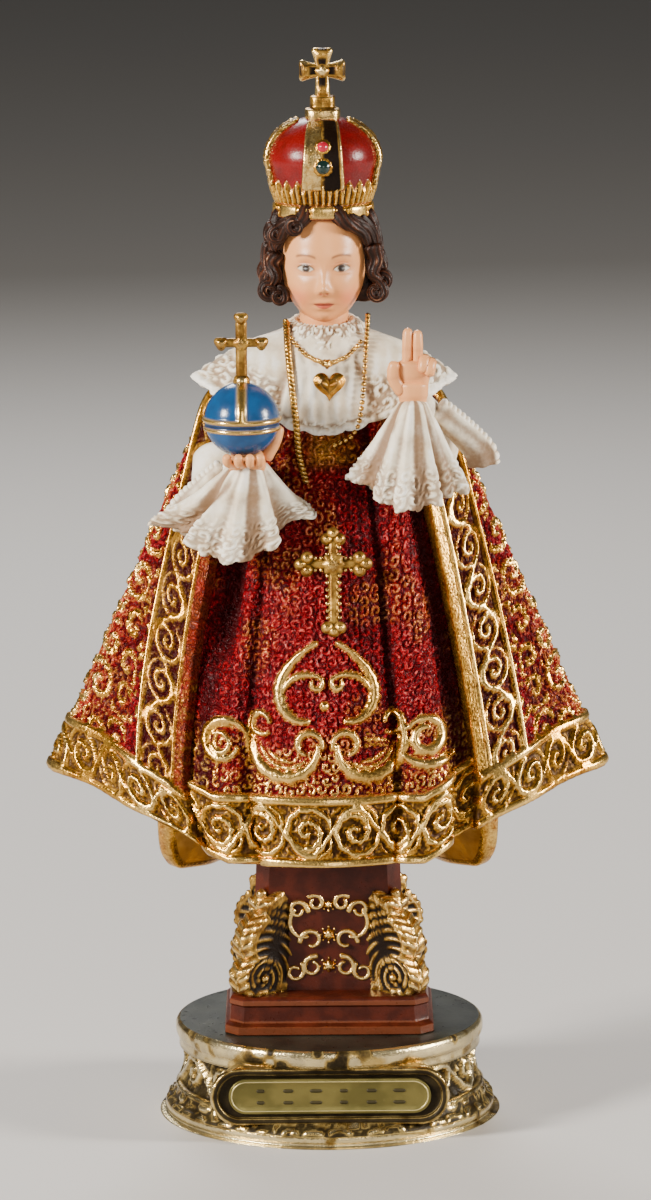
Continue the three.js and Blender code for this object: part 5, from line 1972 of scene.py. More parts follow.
@dataclass(frozen=True)
class Jewels:
    """Heart pendant on beads, and a budded cross on two long chains."""

    collar: Collar = Collar()
    robe: Robe = Robe()
    heart_width: float = 6.6
    heart_place: Triple = (0.9, 0.0, 145.4)
    rope_seen: Table = ((-7.3, 156.4), (-7.0, 151.5), (-6.4, 146.0), (-5.8, 141.0), (-5.4, 137.6))
    rope_below: Table = ((-4.4, 71.5), (-3.2, 66.5))
    beads_seen: Table = ((8.4, 157.0), (8.0, 152.0), (7.6, 146.8), (7.1, 141.8), (6.4, 138.0))
    beads_below: Table = ((4.4, 75.0), (1.6, 73.6))
    cross_x: float = 1.4
    cross_top: float = 57.0
    cross_width: float = 12.0
    cross_length: float = 17.5

    def heart(self) -> Piece:
        """The gold heart with a smaller one inside its rim, and its crest.

        Returns:
            The piece.
        """
        x, y, z = self.heart_place
        y = float(self.collar.at(x, z)[1]) - 0.4
        heart = button("heart", (x, y, z), heart_outline(self.heart_width), 1.5, 0.15, 56, 16, crest=1.2)
        inner = button("heart", (x, y - 1.0, z), heart_outline(self.heart_width * 0.5), 1.1, 0.15, 40, 10,
            crest=1.0, tone=0.35)
        crest = button("heart_crest", (x - 0.4, y + 0.2, z + 4.0), round_outline(1.0, 5, 0.15), 0.9)
        return joined("heart", [heart, inner, crest])

    def choker(self) -> Piece:
        """Beads hanging from the ruff down to the heart.

        Returns:
            The beads.
        """
        places = []
        for x in np.linspace(-6.9, 6.9, 25):
            point = self.collar.at(x, 149.4 + 0.085 * x ** 2 - 0.1 * x)
            places.append((x, point[1] - 0.5, point[2]))
        return studded("choker", places, 0.55)

    def chain_path(self, seen: Table, below: Table) -> Grid:
        """Middle line of one long chain.

        Args:
            seen: x and z of its points on the collar.
            below: x and height of its points on the gown.

        Returns:
            Points of the chain.
        """
        on_collar = [(x, float(self.collar.at(x, z)[1]) - 0.6, z) for x, z in seen]
        return np.array(on_collar + [tuple(self.robe.front_at(x, height, 0.9)) for x, height in below])

    def twist(self, u: Grid, v: Grid) -> Woven:
        """The rope's two strands, twisted."""
        strand = np.abs(np.sin(math.pi * (2.0 * u + 40.0 * v)))
        return 0.2 * strand, {"relief": 0.05 + 0.95 * strand}

    def chains(self) -> list[Piece]:
        """A rope at the viewer's left and beads at the other side.

        Returns:
            Both pieces.
        """
        left = self.chain_path(self.rope_seen, self.rope_below)
        right = self.chain_path(self.beads_seen, self.beads_below)
        rope = rod("rope", left, lambda t: (np.full_like(t, 0.52), np.full_like(t, 0.52)), 14, 300,
            relief=self.twist)
        return [rope, studded("chain_beads", smooth_path(right, 26), 0.6)]

    def cross(self) -> Piece:
        """The budded cross on the gown.

        Returns:
            The cross.
        """
        x, top = self.cross_x, self.cross_top
        foot = self.robe.front_at(x, top - self.cross_length, 0.0)
        head = self.robe.front_at(x, top, 0.0)
        low = np.array([x, foot[1] - 1.0, foot[2]])
        high = np.array([x, min(head[1] - 1.1, low[1] + 3.4), foot[2] + self.cross_length])
        crossing = low + (high - low) * 0.7
        half = self.cross_width / 2.0
        arm = np.array([half - 1.2, 0.0, 0.0])
        parts = [stem("bar", low, high, 1.0, 0.8), stem("bar", crossing - arm, crossing + arm, 1.0, 0.8)]
        buds = []
        for out in (-half + 1.0, half - 1.0):
            for dx, dz in ((0.0, 1.2), (0.0, -1.2), (math.copysign(1.2, out), 0.0)):
                buds.append((crossing + (out + dx, -0.6, dz), 1.35))
        for tip, rise in ((high, 1.0), (low, -0.6)):
            for dx, dz in ((-1.2, 0.0), (1.2, 0.0), (0.0, 1.1 * rise)):
                buds.append((tip + (dx, -0.5, dz - 0.6 * rise), 1.3))
        parts += [button("bud", place, round_outline(radius), 1.0, tone=0.75) for place, radius in buds]
        parts.append(
            button("rosette", crossing + (0.0, -1.0, 0.0), round_outline(2.3, 8, 0.12), 1.0, tone=0.75))
        beads = [low + (high - low) * share + (side * 1.15, -0.4, 0.0)
            for share in np.linspace(0.05, 0.95, 13) for side in (-1.0, 1.0)]
        beads += [crossing + (out, -0.4, side * 1.15) for out in np.linspace(-half + 1.4, half - 1.4, 9)
            for side in (-1.0, 1.0)]
        parts.append(studded("cross_beads", beads, 0.5))
        return joined("pectoral_cross", parts)

    def build(self, shop: Workshop) -> None:
        """Adds the jewels to the scene.

        Args:
            shop: Takes the pieces.
        """
        for piece in (self.heart(), self.choker(), *self.chains()):
            shop.add(piece, Finish.GOLD, "robe_paint", "figure")
        shop.add(self.cross(), Finish.CARVED, "robe_paint", "figure")


@dataclass(frozen=True)
class Orb:
    """Blue globe with gold bands, and the cross on it."""

    centre: Triple = ORB_CENTRE
    radius: float = ORB_RADIUS
    band: float = 0.45
    cross_height: float = 13.2
    cross_width: float = 9.6
    cross_bar: float = 1.1

    def globe(self, u: Grid, v: Grid) -> Woven:
        """The globe with its two thin lines round it and one band up and over.

        Args:
            u: Share of the way round.
            v: Share of the way from the first row to the last.

        Returns:
            Points in millimetres and their marks.
        """
        turn, fall = angle_at(u), math.pi * v
        direction = placed(np.sin(fall) * np.sin(turn), -np.sin(fall) * np.cos(turn), -np.cos(fall))
        level = -np.cos(fall) * self.radius
        lines = peak(level, 0.15, 0.42, 4) + peak(level, -1.55, 0.36, 4)
        upright = peak(direction[..., 0] * self.radius, 0.0, 0.85, 4) * (level > 0.0)
        gilt = held(lines + upright)
        groove = peak(level, -0.75, 0.35)
        points = np.array(self.centre) + direction * (self.radius + self.band * gilt)[..., None]
        return points, {"relief": held(1.0 - 0.9 * groove + gilt), "gilt": gilt}

    def cross(self) -> Piece:
        """The gold cross with budded ends.

        Returns:
            The cross.
        """
        base = np.array(self.centre) + (0.0, 0.0, self.radius - 0.4)
        top = base + (0.0, 0.0, self.cross_height + 0.4)
        middle = base + (0.0, 0.0, (self.cross_height + 1.0) * 0.6 - 0.6)
        half = self.cross_width / 2.0
        bar = self.cross_bar
        parts = [stem("bar", base, top - (0, 0, 0.6), bar, bar * 0.9),
            stem("bar", middle + (-half + 0.6, 0, 0), middle + (half - 0.6, 0, 0), bar * 0.8, bar * 0.8)]
        for tip in (middle + (-half + 1.0, 0, 0), middle + (half - 1.0, 0, 0), top - (0, 0, 1.0)):
            parts.append(
                button("bud", tip + (0, -0.4, 0), round_outline(1.4, 3, 0.12), 1.2, back=1.2, tone=0.75))
        parts.append(
            button("bud", middle + (0, -0.6, 0), round_outline(1.7, 4, 0.1), 0.9, back=1.2, tone=0.75))
        parts.append(button("knob", base + (0.0, -0.2, 0.6), round_outline(1.7), 1.5, back=1.5))
        return joined("orb_cross", parts)

    def build(self, shop: Workshop) -> None:
        """Adds the orb to the scene."""
        shop.add(weave("globe", 140, 110, self.globe, ring=True), Finish.BLUE, "blue_paint", "orb")
        shop.add(self.cross(), Finish.CARVED, "blue_paint", "orb")


@dataclass(frozen=True)
class Crown:
    """Red cap in gold arches over a leafed rim, with a cross on a foot. Heights count from its seat."""

    seat: float = SEAT + 116.0
    rim: float = 9.2
    cap: float = 10.6
    band: float = 2.6
    rim_top: float = 7.8
    dome: float = 18.6
    height: float = 32.0
    leaves: int = 24
    cross_width: float = 8.8
    foot_section: Table = ((0.0, -1.4), (3.3, -1.4), (3.4, -1.2), (3.4, 1.6), (3.25, 1.8), (2.4, 1.9),
        (2.4, 4.0), (2.3, 4.2), (1.3, 4.4), (0.0, 4.5))
    stones: tuple[tuple[float, float, float, Finish], ...] = ((14.2, 1.15, 0.5, Finish.RED_STONE),
        (10.4, 1.45, 0.0, Finish.DARK_STONE))

    def outline(self) -> Grid:
        """Radius and height of the cap and rim, from the centre of the underside to the top."""
        return np.array(
            [(0.0, 0.0), (self.rim - 0.4, 0.0), (self.rim, 0.3), (self.rim + 0.05, 1.2),
            (self.rim, self.band - 0.4), (self.rim - 0.45, self.band), (self.rim - 0.2, self.band + 1.2),
            (self.rim + 0.4, 5.6), (self.cap - 0.5, self.rim_top + 0.8), (self.cap, self.rim_top + 3.4),
            (self.cap * 0.93, self.rim_top + 6.1), (self.cap * 0.76, self.dome - 2.4),
            (self.cap * 0.42, self.dome - 0.2), (0.0, self.dome + 0.2)])

    def body(self, u: Grid, v: Grid) -> Woven:
        """Cap and rim in one.

        Args:
            u: Share of the way round.
            v: Share of the way from the first row to the last.

        Returns:
            Points in millimetres and their marks.
        """
        turn = angle_at(u)
        radius, height = traced(smooth_path(self.outline(), 110), v)
        radius = np.maximum(radius, 0.0)
        points = around(turn, radius, height + self.seat)
        side = radius > self.rim * 0.9
        band = within(height, 0.1, 0.35, self.band - 0.3, self.band) * side
        phase = turn * self.leaves / TURN
        leaf_top = 5.3 + 1.9 * np.abs(np.cos(math.pi * phase))
        leaf = within(height, self.band + 0.1, self.band + 0.4, leaf_top - 0.3, leaf_top + 0.1)
        rib = 0.02 + 0.98 * np.abs(np.cos(math.pi * phase * 2.0)) ** 2
        bars = step(np.cos(phase * TURN / 3.0), -0.35, -0.1)
        rosette = 0.08 + 0.92 * np.abs(np.cos(phase * TURN * 1.5)) * np.abs(np.sin(height * 2.6))
        rise = 0.5 * band * between(rosette, 1.0, bars) + 0.8 * leaf * rib
        gilt = held(band + leaf)
        relief = held(1.0 - gilt + band * between(rosette, 1.0, bars) + leaf * rib)
        return raised(points, rise, ring=True), {"relief": relief, "gilt": gilt}

    def arch_relief(self, u: Grid, v: Grid, front: bool) -> Woven:
        """Lines and curls of an arch. The front one has one half in painted shade.

        Args:
            u: Share of the way round it.
            v: Share of its length.
            front: Whether it is the front one.

        Returns:
            Height in millimetres and marks.
        """
        place = np.sin(TURN * u)
        line = peak(np.abs(place), 0.9, 0.07)
        curls = Curls(1.9, 1.1, 61.0).height(u * 16.0, v * 16.0)
        if front:
            dark = within(-place, -0.15, 0.15, 0.78, 0.86)
            return 0.35 * line, {"relief": held(0.8 + 0.2 * curls - 1.2 * dark)}
        return 0.35 * np.maximum(line, 0.6 * curls), {"relief": 0.1 + 0.9 * np.maximum(line, curls)}

    def arch(self, bearing: float) -> Piece:
        """One gold arch, broad below and narrow above. The front one is broader.

        Args:
            bearing: Its angle, 0 at the front.

        Returns:
            The arch.
        """
        out, back = math.sin(bearing), -math.cos(bearing)
        points = [(x * out, x * back, self.seat + z) for x, z in self.outline()[7:13]]
        front = bearing == 0.0
        wide, narrow = (4.1, 2.9) if front else (3.4, 1.7)
        return rod("arch", points, lambda t: (between(wide, narrow, t ** 1.4), np.full_like(t, 0.7)), 48,
            60, (out, back, 0.35), partial(self.arch_relief, front=front))

    def foot(self, u: Grid, v: Grid) -> Woven:
        """The stepped foot under the cross.

        Args:
            u: Share of the way round.
            v: Share of the way from the first row to the last.

        Returns:
            Points in millimetres and their marks.
        """
        radius, height = traced(self.foot_section, v)
        turn = angle_at(u)
        square = 1.0 / np.maximum(np.abs(np.sin(turn)) ** 4 + np.abs(np.cos(turn)) ** 4, 0.2) ** 0.25
        points = around(turn, radius * between(1.0, square, 0.55), self.seat + self.dome + height)
        return points, {"relief": held(0.1 + radius / 4.6)}

    def carved(self, u: Grid, v: Grid) -> Woven:
        """A raised rim and a bud on an arm of the cross.

        Args:
            u: Share of the way round.
            v: Share of the length.

        Returns:
            Height in millimetres and marks.
        """
        edge = step(np.abs(np.sin(TURN * u)), 0.55, 0.85)
        bud = peak(v, 0.72, 0.16) * (1.0 - edge)
        return 0.3 * edge + 0.35 * bud, {"relief": held(edge + 0.7 * bud)}

    def arm(self, middle: Grid, end: Grid, flare: float) -> Piece:
        """One arm of the cross, flared towards its end."""
        return rod("arm", [middle, (middle + end) / 2.0, end],
            lambda t: (between(0.95, flare, t ** 1.8), np.full_like(t, 0.95)), 24, 24, relief=self.carved)

    def top(self) -> Piece:
        """Stepped foot and flared cross.

        Returns:
            The piece.
        """
        base = np.array([0.0, 0.0, self.seat + self.dome + 3.6])
        tip = np.array([0.0, 0.0, self.seat + self.height])
        middle = base + (tip - base) * 0.56
        half = self.cross_width / 2.0
        parts = [weave("foot", 64, 27, self.foot, ring=True)]
        left, right = middle + (-half, 0, 0), middle + (half, 0, 0)
        parts += [self.arm(middle, end, flare) for end,
            flare in ((base, 1.3), (tip, 2.0), (left, 2.0), (right, 2.0))]
        parts.append(button("boss", middle + (0, -0.6, 0), round_outline(1.5, 4, 0.12), 1.0, back=1.4))
        return joined("crown_cross", parts)

    def gems(self) -> list[tuple[Piece, Finish]]:
        """Stones on the front arch, in gold settings.

        Returns:
            Each piece with its finish.
        """
        found = []
        table = self.outline()[8:]
        for height, radius, lean, finish in self.stones:
            y, z = -float(np.interp(height, table[:, 1], table[:, 0])) - 0.9, self.seat + height
            stone = button("stone", (0.0, y, z), round_outline(radius), 0.9, lean, 28, 12)
            setting = button("setting", (0.0, y + 0.35, z), round_outline(radius + 0.5, 12, 0.05), 0.5,
                lean, 48, 10, crest=6.0)
            found += [(stone, finish), (setting, Finish.GOLD)]
        return found

    def build(self, shop: Workshop) -> None:
        """Adds the crown to the scene.

        Args:
            shop: Takes the pieces.
        """
        shop.add(weave("crown_body", 288, 100, self.body, ring=True), Finish.RED, "crown_paint", "crown")
        arches = joined("arches", [self.arch(TURN * index / 4.0) for index in range(4)])
        shop.add(arches, Finish.CARVED, "crown_paint", "crown")
        shop.add(self.top(), Finish.CARVED, "crown_paint", "crown")
        for piece, finish in self.gems():
            shop.add(piece, finish, "crown_paint", "crown")


# Pedestal and base


@dataclass(frozen=True)
class Pedestal:
    """Foot block, waist and neck, with corner consoles and a scrolled panel. Heights count from the base."""

    floor: float = BASE_TOP
    cant: float = 2.6
    foot: float = 7.4
    waist_half: float = 12.4
    waist_depth: float = 10.4
    eye: tuple[float, float] = (6.2, 3.4)
    console_half: float = 2.8
    console_edge: Table = ((-2.0, 0.0), (6.5, 0.0), (9.2, 0.5), (10.2, 2.2), (10.1, 4.4), (8.7, 6.2),
        (8.2, 7.2), (9.2, 8.8), (9.1, 11.0), (8.0, 13.2), (6.1, 15.0), (5.0, 16.0), (5.3, 17.4),
        (4.2, 18.7), (-2.0, 18.9), (-2.0, 0.0))
    stations: Table = ((0.0, 0.0, 0.0), (0.0, 20.0, 16.8), (0.25, 20.2, 17.0), (1.6, 20.2, 17.0),
        (1.9, 19.9, 16.7), (2.4, 19.3, 16.1), (2.9, 19.2, 16.0), (5.4, 19.0, 15.8), (5.8, 19.3, 16.1),
        (6.6, 19.3, 16.1), (7.0, 19.1, 15.9), (7.4, 18.8, 15.6), (7.7, 13.6, 11.2), (14.4, 12.4, 10.4),
        (24.5, 12.4, 10.4), (26.0, 13.8, 11.0), (26.8, 14.2, 11.2), (42.0, 13.6, 10.6), (42.0, 0.0, 0.0))
    rows_each: int = 3
    panel_scrolls: Table = ((6.0, 23.6, 1.7, 1, 200, 400, 0.6), (2.5, 25.0, 1.5, -1, 150, 400, 0.5),
        (4.6, 20.6, 3.0, 1, 60, 170, 0.8), (3.3, 17.6, 1.9, -1, 200, 330, 0.7),
        (3.2, 12.2, 1.8, 1, 120, 400, 0.7), (6.6, 11.2, 1.7, -1, 60, 400, 0.7))
    rosettes: Table = ((0.0, 24.6, 1.0), (0.0, 18.6, 1.25), (0.0, 12.3, 1.35))

    def block(self, u: Grid, v: Grid) -> Woven:
        """The block, waist and neck in one.

        Args:
            u: Share of the way round.
            v: Share of the way from the first row to the last.

        Returns:
            Points in millimetres and their marks.
        """
        turns = np.array([0, 20, 26, 50, 56, 144, 150, 174, 180, 200]) / 200.0
        wide = np.array([0, -1, -1, -1, -1, 1, 1, 1, 1, 0.0])
        wide_cant = np.array([0, 1, 0, 0, 1, -1, 0, 0, -1, 0.0])
        deep = np.array([1, 1, 1, -1, -1, -1, -1, 1, 1, 1.0])
        deep_cant = np.array([0, 0, -1, 1, 0, 0, 1, -1, 0, 0.0])
        height, width, depth = traced(self.stations, v)
        cant = self.cant * np.minimum(1.0, width / self.waist_half)
        x = np.interp(u, turns, wide) * width + np.interp(u, turns, wide_cant) * cant
        y = np.interp(u, turns, deep) * depth + np.interp(u, turns, deep_cant) * cant
        points = placed(x, y, height + self.floor)
        grain = clouds(x * 0.6, height + y * 0.3, 2.0, 3.0)
        edge = peak(width, 20.2, 0.12) + peak(width, 19.3, 0.06)
        relief = held(0.42 + 0.25 * grain + 0.6 * edge)
        return points, {"relief": relief}

    def corner(self, side: float, front: float) -> tuple[Grid, Grid, Grid]:
        """Where one corner's console stands.

        Args:
            side: -1 for the viewer's left and 1 for the right.
            front: -1 in front and 1 behind.

        Returns:
            Its root, its direction outwards and its direction across.
        """
        low = self.floor + self.foot
        root = np.array([side * (self.waist_half - 2.9), front * (self.waist_depth - 2.2), low])
        bearing = math.atan2(front * 0.62, side * 0.78)
        out = np.array([math.cos(bearing), math.sin(bearing), 0.0])
        return root, out, np.array([-out[1], out[0], 0.0])

    def leaf(self, u: Grid, v: Grid, side: float, front: float) -> Woven:
        """A console's thick leafed plate: ribs and a coil on its faces, a leaf round its edge.

        Args:
            u: Share of the way round its edge.
            v: Share of the way from one face to the other.
            side: -1 for the viewer's left and 1 for the right.
            front: -1 in front and 1 behind.

        Returns:
            Points in millimetres and their marks.
        """
        root, out, over = self.corner(side, front)
        edge_reach, edge_height = traced(smooth_path(self.console_edge, 190)[::-1], u)
        eye_u, eye_h = self.eye
        share = held(np.minimum(v, 1.0 - v) / 0.34)
        t = held((v - 0.34) / 0.32) * 2.0 - 1.0
        rim = (v > 0.33) & (v < 0.67)
        reach = between(3.5, edge_reach, share)
        height = between(9.0, edge_height, share)
        points = (root + out * reach[..., None] + over * (self.console_half * t)[..., None]
            + np.array([0.0, 0.0, 1.0]) * height[..., None])
        radius = np.hypot(reach - eye_u, height - eye_h)
        coil = np.cos(TURN * radius / 1.5 - np.arctan2(height - eye_h, reach - eye_u))
        ribs = np.abs(np.sin(math.pi * radius / 1.7)) ** 6
        veins = np.maximum(ribs * step(share, 0.1, 0.5), peak(share, 0.86, 0.07))
        lobes = np.abs(np.sin(math.pi * (u * 32.0 + 0.8 * np.abs(t))))
        midrib = peak(t, 0.0, 0.14)
        face = np.where(radius < 3.7, step(coil, 0.35, 0.9), veins)
        # The left consoles' faces get a lower relief mark: painted shade.
        shine = 0.45 if side < 0 else 0.95
        relief = np.where(rim, 0.12 + 0.88 * np.maximum(lobes * (1.0 - midrib), midrib), shine * face)
        rise = np.where(rim, 0.45 * lobes + 0.3 * midrib, 0.4 * face)
        return raised(points, rise, ring=True), {"relief": relief}

    def console(self, side: float, front: float) -> Piece:
        """One corner console, with an eye on both faces of its volute and a knob on its shoulder.

        Args:
            side: -1 for the viewer's left and 1 for the right.
            front: -1 in front and 1 behind.

        Returns:
            The console.
        """
        root, out, over = self.corner(side, front)
        eye_u, eye_h = self.eye
        parts = [weave("leaf", 156, 42, partial(self.leaf, side=side, front=front), ring=True)]
        for face in (-1.0, 1.0):
            eye = root + out * eye_u + over * face * (self.console_half + 0.2) + (0.0, 0.0, eye_h)
            parts.append(studded("eye", [eye], 0.95))
        parts.append(studded("knob", [root + out * 4.4 + (0.0, 0.0, 19.4)], 1.25))
        return joined("console", parts)

    def curl(self, scroll: Scroll, face: float) -> Piece:
        """One thin gold scroll on the front panel, whose face is at y = face."""
        points = [(x, face - 0.1, z + self.floor) for x, z in scroll.points(20)]
        return rod("curl", points, lambda t: (0.62 * (1.0 - 0.4 * t), np.full_like(t, 0.6)), 10, 48)

    def panel(self) -> Piece:
        """Gold scrolls and rosettes on the front panel.

        Returns:
            The piece.
        """
        face = -self.waist_depth - 0.15
        parts = []
        for side in (-1.0, 1.0):
            for x, z, size, hand, start, sweep, tail in self.panel_scrolls:
                parts.append(self.curl(Scroll(side * x, z, size, side * hand, start, sweep, tail), face))
        for x, z, radius in self.rosettes:
            parts.append(
                button("rosette", (x, face + 0.1, z + self.floor), round_outline(radius, 6, 0.14), 0.9))
        beads = []
        for x, z, radius in self.rosettes:
            for turn in TURN * np.arange(8) / 8.0:
                reach = 1.25 * radius
                beads.append((x + reach * math.cos(turn), face, z + self.floor + reach * math.sin(turn)))
        parts.append(studded("beads", beads, 0.3))
        return joined("panel_scrolls", parts)

    def build(self, shop: Workshop) -> None:
        """Adds the pedestal to the scene.

        Args:
            shop: Takes the pieces.
        """
        block = weave("pedestal_block", 200, self.rows_each * (len(self.stations) - 1), self.block,
            ring=True)
        block.data.set_sharp_from_angle(angle=math.radians(32))
        shop.add(block, Finish.BROWN, "brown_paint", "pedestal")
        for side in (-1.0, 1.0):
            for front in (-1.0, 1.0):
                shop.add(self.console(side, front), Finish.CARVED, "brown_paint", "pedestal")
        shop.add(self.panel(), Finish.GOLD, "brown_paint", "pedestal")


@dataclass(frozen=True)
class Base:
    """Turned plinth with carved leaf scrolls round its waist and a name plate in a stadium frame."""

    height: float = BASE_TOP
    front: float = 26.8
    frame_width: float = 46.0
    frame_height: float = 11.4
    frame_middle: float = 9.1
    plate_width: float = 39.0
    plate_height: float = 6.9
    plate_thickness: float = 0.7
    strokes: int = 6
    frame_section: Table = ((0.0, 7.0), (0.0, -0.2), (0.25, -0.85), (0.8, -1.0), (1.25, -0.75),
        (1.45, -0.2), (1.6, 0.0), (2.2, 0.05), (6.0, 0.05))
    plate_section: Table = ((3.45, 0.0), (0.0, 0.0), (0.0, -0.6), (0.1, -0.7), (0.42, -0.7), (0.5, -0.78),
        (0.62, -0.78), (0.7, -0.7), (3.45, -0.7))
    scrollwork: Band = Band(9.4, 9.6, 0.35)
    foliage: Curls = Curls(4.6, 2.3, 71.0, 0.3)
    profile: Table = ((0.0, 0.0), (30.9, 0.0), (31.8, 0.35), (32.2, 1.3), (32.1, 2.2), (31.4, 3.0),
        (30.7, 3.3), (30.4, 4.0), (30.0, 4.8), (28.9, 6.0), (28.0, 8.0), (27.6, 10.4), (27.9, 12.6),
        (28.6, 13.9), (29.3, 14.6), (29.4, 15.1), (29.9, 15.6), (30.1, 16.4), (30.05, 17.6), (29.7, 18.3),
        (29.2, 18.5))

    def ring_at(self, width: float, height: float, u: Grid, inset: Grid) -> tuple[Grid, Grid]:
        """Outline of a stadium, with the seam at the middle of its top.

        Args:
            width: Its full width.
            height: Its full height.
            u: Share of the way round.
            inset: How far the line is moved in.

        Returns:
            x and z of the outline.
        """
        radius = height / 2.0
        reach = width / 2.0 - radius
        straight, bend = 2.0 * reach, math.pi * radius
        run = u * 2.0 * (straight + bend)
        size = np.maximum(radius - inset, 0.0)
        left, right = (run - reach) / radius, (run - reach - bend - straight) / radius
        parts = [run < reach, run < reach + bend, run < reach + bend + straight,
            run < reach + 2 * bend + straight]
        x = np.select(parts,
            [-run, -reach - size * np.sin(left), -reach + run - reach - bend, reach + size * np.sin(right)],
            reach - (run - reach - 2 * bend - straight))
        z = np.select(parts, [size, size * np.cos(left), -size, -size * np.cos(right)], size)
        return x, z

    def body(self, u: Grid, v: Grid) -> Woven:
        """The plinth.

        Args:
            u: Share of the way round.
            v: Share of the way from the first row to the last.

        Returns:
            Points in millimetres and their marks.
        """
        turn = angle_at(u)
        radius, height = traced(smooth_path(self.profile, 150), 0.36 + 0.64 * v)
        height = np.maximum(height, 0.0)
        points = around(turn, radius, height)
        along, up = turn * 28.0, height - 5.0
        zone = within(height, 4.9, 5.3, 14.2, 14.6)
        work = self.scrollwork.height(along, up)
        lumps = clouds(along, up, 2.2, 7.0)
        leaves = self.foliage.height(along, run_along(points, 0))
        foot = within(height, 2.2, 2.6, 4.6, 5.0) * leaves
        rise = zone * (1.4 * work - 0.4) + 0.4 * foot
        points = raised(points, rise, ring=True)
        half = self.frame_height / 2.0 - 0.4
        reach = self.frame_width / 2.0 - self.frame_height / 2.0
        gap = np.hypot(np.maximum(np.abs(points[..., 0]) - reach, 0.0), points[..., 2] - self.frame_middle)
        behind = (gap < half) & (points[..., 1] < 0.0)
        points[..., 1] = np.where(behind, np.maximum(points[..., 1], -self.front + 0.6), points[..., 1])
        dull = step(lumps, 0.45, 0.75) * step(clouds(along, up, 7.0, 9.0), 0.3, 0.7)
        relief = between(1.0 - 0.95 * dull, held(work) ** 1.8, zone)
        relief = np.where((height > 2.2) & (height < 4.9), 0.05 + 0.95 * foot, relief)
        return points, {"relief": held(relief)}

    def disc(self, u: Grid, v: Grid, height: float, radius: float, hand: float) -> Woven:
        """A flat disc, which faces up with hand 1 and down with hand -1."""
        points = around(angle_at(u) * hand, radius * (1.0 - v), np.full_like(u, height))
        return points, {"relief": 0.4 + 0.5 * clouds(points[..., 0], points[..., 1], 6.0, 2.0)}

    def frame(self, u: Grid, v: Grid) -> Woven:
        """The stadium frame round the name plate.

        Args:
            u: Share of the way round.
            v: Share of the way from the first row to the last.

        Returns:
            Points in millimetres and their marks.
        """
        inset, depth = traced(self.frame_section, v)
        x, z = self.ring_at(self.frame_width, self.frame_height, u, inset)
        taper = between(0.8, 1.0, held(1.0 - depth / 14.0))
        points = placed(x * taper, depth - self.front, z + self.frame_middle)
        lumps = clouds(x, z, 1.6, 14.0)
        outer = peak(inset, 0.2, 0.3) * between(0.4, 1.0, lumps)
        lines = outer + 0.8 * peak(inset, 1.35, 0.12)
        relief = np.where(inset > 1.5, 0.0, held(lines))
        return raised(points, 0.2 * lumps * (depth < 0.0), ring=True), {"relief": relief}

    def plate(self, u: Grid, v: Grid) -> Woven:
        """The brass name plate with a thin line near its edge.

        Args:
            u: Share of the way round.
            v: Share of the way from the first row to the last.

        Returns:
            Points in millimetres and their marks.
        """
        inset, depth = traced(self.plate_section, v)
        x, z = self.ring_at(self.plate_width, self.plate_height, u, inset)
        points = placed(x, depth - self.front, z + self.frame_middle)
        return points, {"relief": np.where((inset > 0.44) & (inset < 0.68), 1.0, 0.6)}

    def unlit(self, u: Grid, v: Grid) -> Woven:
        """A smooth surface in the dark wash."""
        return np.zeros_like(u), {"relief": np.zeros_like(u)}

    def stroke(self, index: int, row: float) -> Piece:
        """One plain stroke on the plate.

        Args:
            index: Its number in the row.
            row: -1 for the lower row and 1 for the upper one.

        Returns:
            The stroke.
        """
        x = ((index + 0.5) / self.strokes - 0.5) * (self.plate_width - self.plate_height)
        half = (1.6 + 0.45 * ((index * 7) % 3)) / 2.0
        y, z = -self.front - self.plate_thickness - 0.05, self.frame_middle + row * self.plate_height / 6.0
        return rod("stroke", [(x - half, y, z), (x, y, z), (x + half, y, z)],
            lambda t: (np.full_like(t, 0.35), np.full_like(t, 0.25)), 10, 12, relief=self.unlit)

    def build(self, shop: Workshop) -> None:
        """Adds the base and its plate to the scene.

        Args:
            shop: Takes the pieces.
        """
        shop.add(weave("plinth", 460, 74, self.body, ring=True), Finish.BASE, "antique_gold", "base")
        lids = (("plinth_top", self.height, 29.3, 1.0), ("plinth_foot", 0.0, 31.0, -1.0))
        for name, height, radius, hand in lids:
            disc = weave(name, 96, 12, partial(self.disc, height=height, radius=radius, hand=hand),
                ring=True)
            shop.add(disc, Finish.TOP, "antique_gold", "base")
        shop.add(weave("plate_frame", 220, 32, self.frame, ring=True), Finish.BASE, "antique_gold", "base")
        plate = weave("name_plate", 200, 16, self.plate, ring=True)
        shop.add(plate, Finish.PLATE, "plate_brass", "name_plate")
        strokes = [self.stroke(index, row) for row in (-1.0, 1.0) for index in range(self.strokes)]
        shop.add(joined("plate_strokes", strokes), Finish.PLATE, "plate_brass", "name_plate")


# Studio


@dataclass(frozen=True)
class Lamp:
    """One soft studio light."""

    name: str
    place: Triple
    size: float
    watts: float
    colour: Triple = (1.0, 1.0, 1.0)


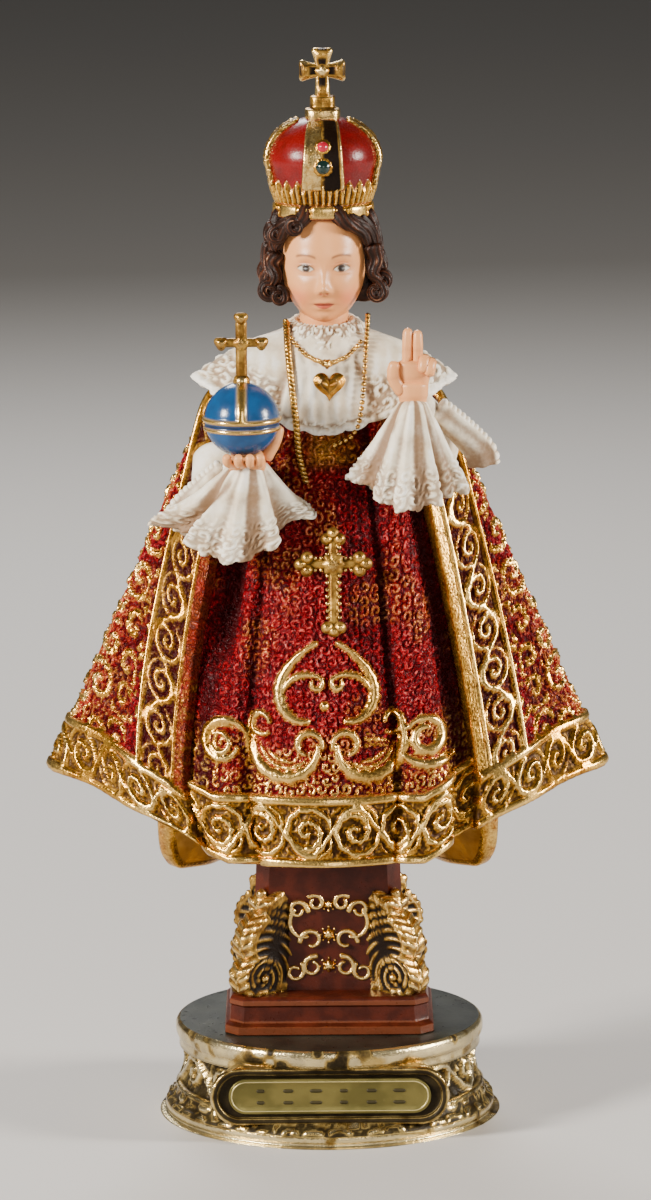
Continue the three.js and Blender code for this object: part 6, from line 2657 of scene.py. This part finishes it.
@dataclass(frozen=True)
class Studio:
    """Pale floor, soft lights and the camera at the photograph's angle."""

    target: Triple = (0.0, 0.0, 0.1012)
    distance: float = 1.3
    elevation: float = 10.5
    roll: float = -0.43
    focal_pixels: float = 6701.0
    frame_height: int = 1200
    sensor: float = 36.0
    shift_pixels: float = -0.7
    lamps: tuple[Lamp, ...] = (Lamp("key", (-0.82, -0.48, 0.48), 0.26, 24.0, (1.0, 0.95, 0.88)),
        Lamp("fill", (0.20, -0.98, 0.40), 0.45, 2.4, (1.0, 0.96, 0.92)),
        Lamp("side", (0.88, -0.16, 0.36), 0.24, 16.0, (1.0, 0.95, 0.88)),
        Lamp("rim", (-0.10, 0.75, 0.65), 0.40, 6.0),)

    def camera(self) -> None:
        """Places the camera in front, a little above, and makes it the scene's."""
        data = bpy.data.cameras.new("camera")
        data.sensor_width = self.sensor
        data.lens = self.focal_pixels / self.frame_height * self.sensor
        data.shift_x = self.shift_pixels / self.frame_height
        data.clip_start = 0.05
        tilt = math.radians(self.elevation)
        target = Vector(self.target)
        eye = target + Vector((0.0, -math.cos(tilt), math.sin(tilt))) * self.distance
        camera = bpy.data.objects.new("camera", data)
        facing = (target - eye).to_track_quat("-Z", "Y").to_matrix().to_4x4()
        camera.matrix_world = Matrix.Translation(eye) @ facing @ Matrix.Rotation(math.radians(self.roll), 4,
            "Z")
        bpy.context.scene.collection.objects.link(camera)
        bpy.context.scene.camera = camera

    def light(self) -> None:
        """Adds the lamps and a pale surround."""
        for lamp in self.lamps:
            data = bpy.data.lights.new(lamp.name, "AREA")
            data.shape = "DISK"
            data.size = lamp.size
            data.energy = lamp.watts
            data.color = lamp.colour
            thing = bpy.data.objects.new(lamp.name, data)
            place = Vector(lamp.place)
            facing = (Vector(self.target) - place).to_track_quat("-Z", "Y").to_matrix().to_4x4()
            thing.matrix_world = Matrix.Translation(place) @ facing
            bpy.context.scene.collection.objects.link(thing)
        world = bpy.data.worlds.new("surround")
        world.use_nodes = True
        world.node_tree.nodes["Background"].inputs["Color"].default_value = (0.55, 0.54, 0.52, 1.0)
        world.node_tree.nodes["Background"].inputs["Strength"].default_value = 0.11
        bpy.context.scene.world = world

    def floor(self) -> None:
        """Adds the pale floor."""
        bm = bmesh.new()
        bmesh.ops.create_grid(bm, x_segments=1, y_segments=1, size=4.0)
        mesh = bpy.data.meshes.new("floor")
        bm.to_mesh(mesh)
        bm.free()
        floor = bpy.data.objects.new("floor", mesh)
        material = bpy.data.materials.new("floor_paper")
        material.use_nodes = True
        shader = material.node_tree.nodes["Principled BSDF"]
        shader.inputs["Base Color"].default_value = (0.50, 0.48, 0.46, 1.0)
        shader.inputs["Roughness"].default_value = 0.7
        mesh.materials.append(material)
        bpy.context.scene.collection.objects.link(floor)

    def build(self) -> None:
        """Sets the whole studio up."""
        self.floor()
        self.light()
        self.camera()


def main() -> None:
    """Dresses the frame and sets the studio up."""
    logging.basicConfig(level=logging.INFO, format="%(name)s %(message)s")
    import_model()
    shop = Workshop()
    Robe().build(shop)
    shop.add(Collar().build(), Finish.LACE, "robe_paint", "figure")
    shop.add(Ruff().build(), Finish.LACE, "robe_paint", "figure")
    Sleeves().build(shop)
    for part in (Head(), Hair(), Hands(), Jewels(), Orb(), Crown(), Pedestal(), Base()):
        part.build(shop)
    Studio().build()


if __name__ == "__main__":
    main()
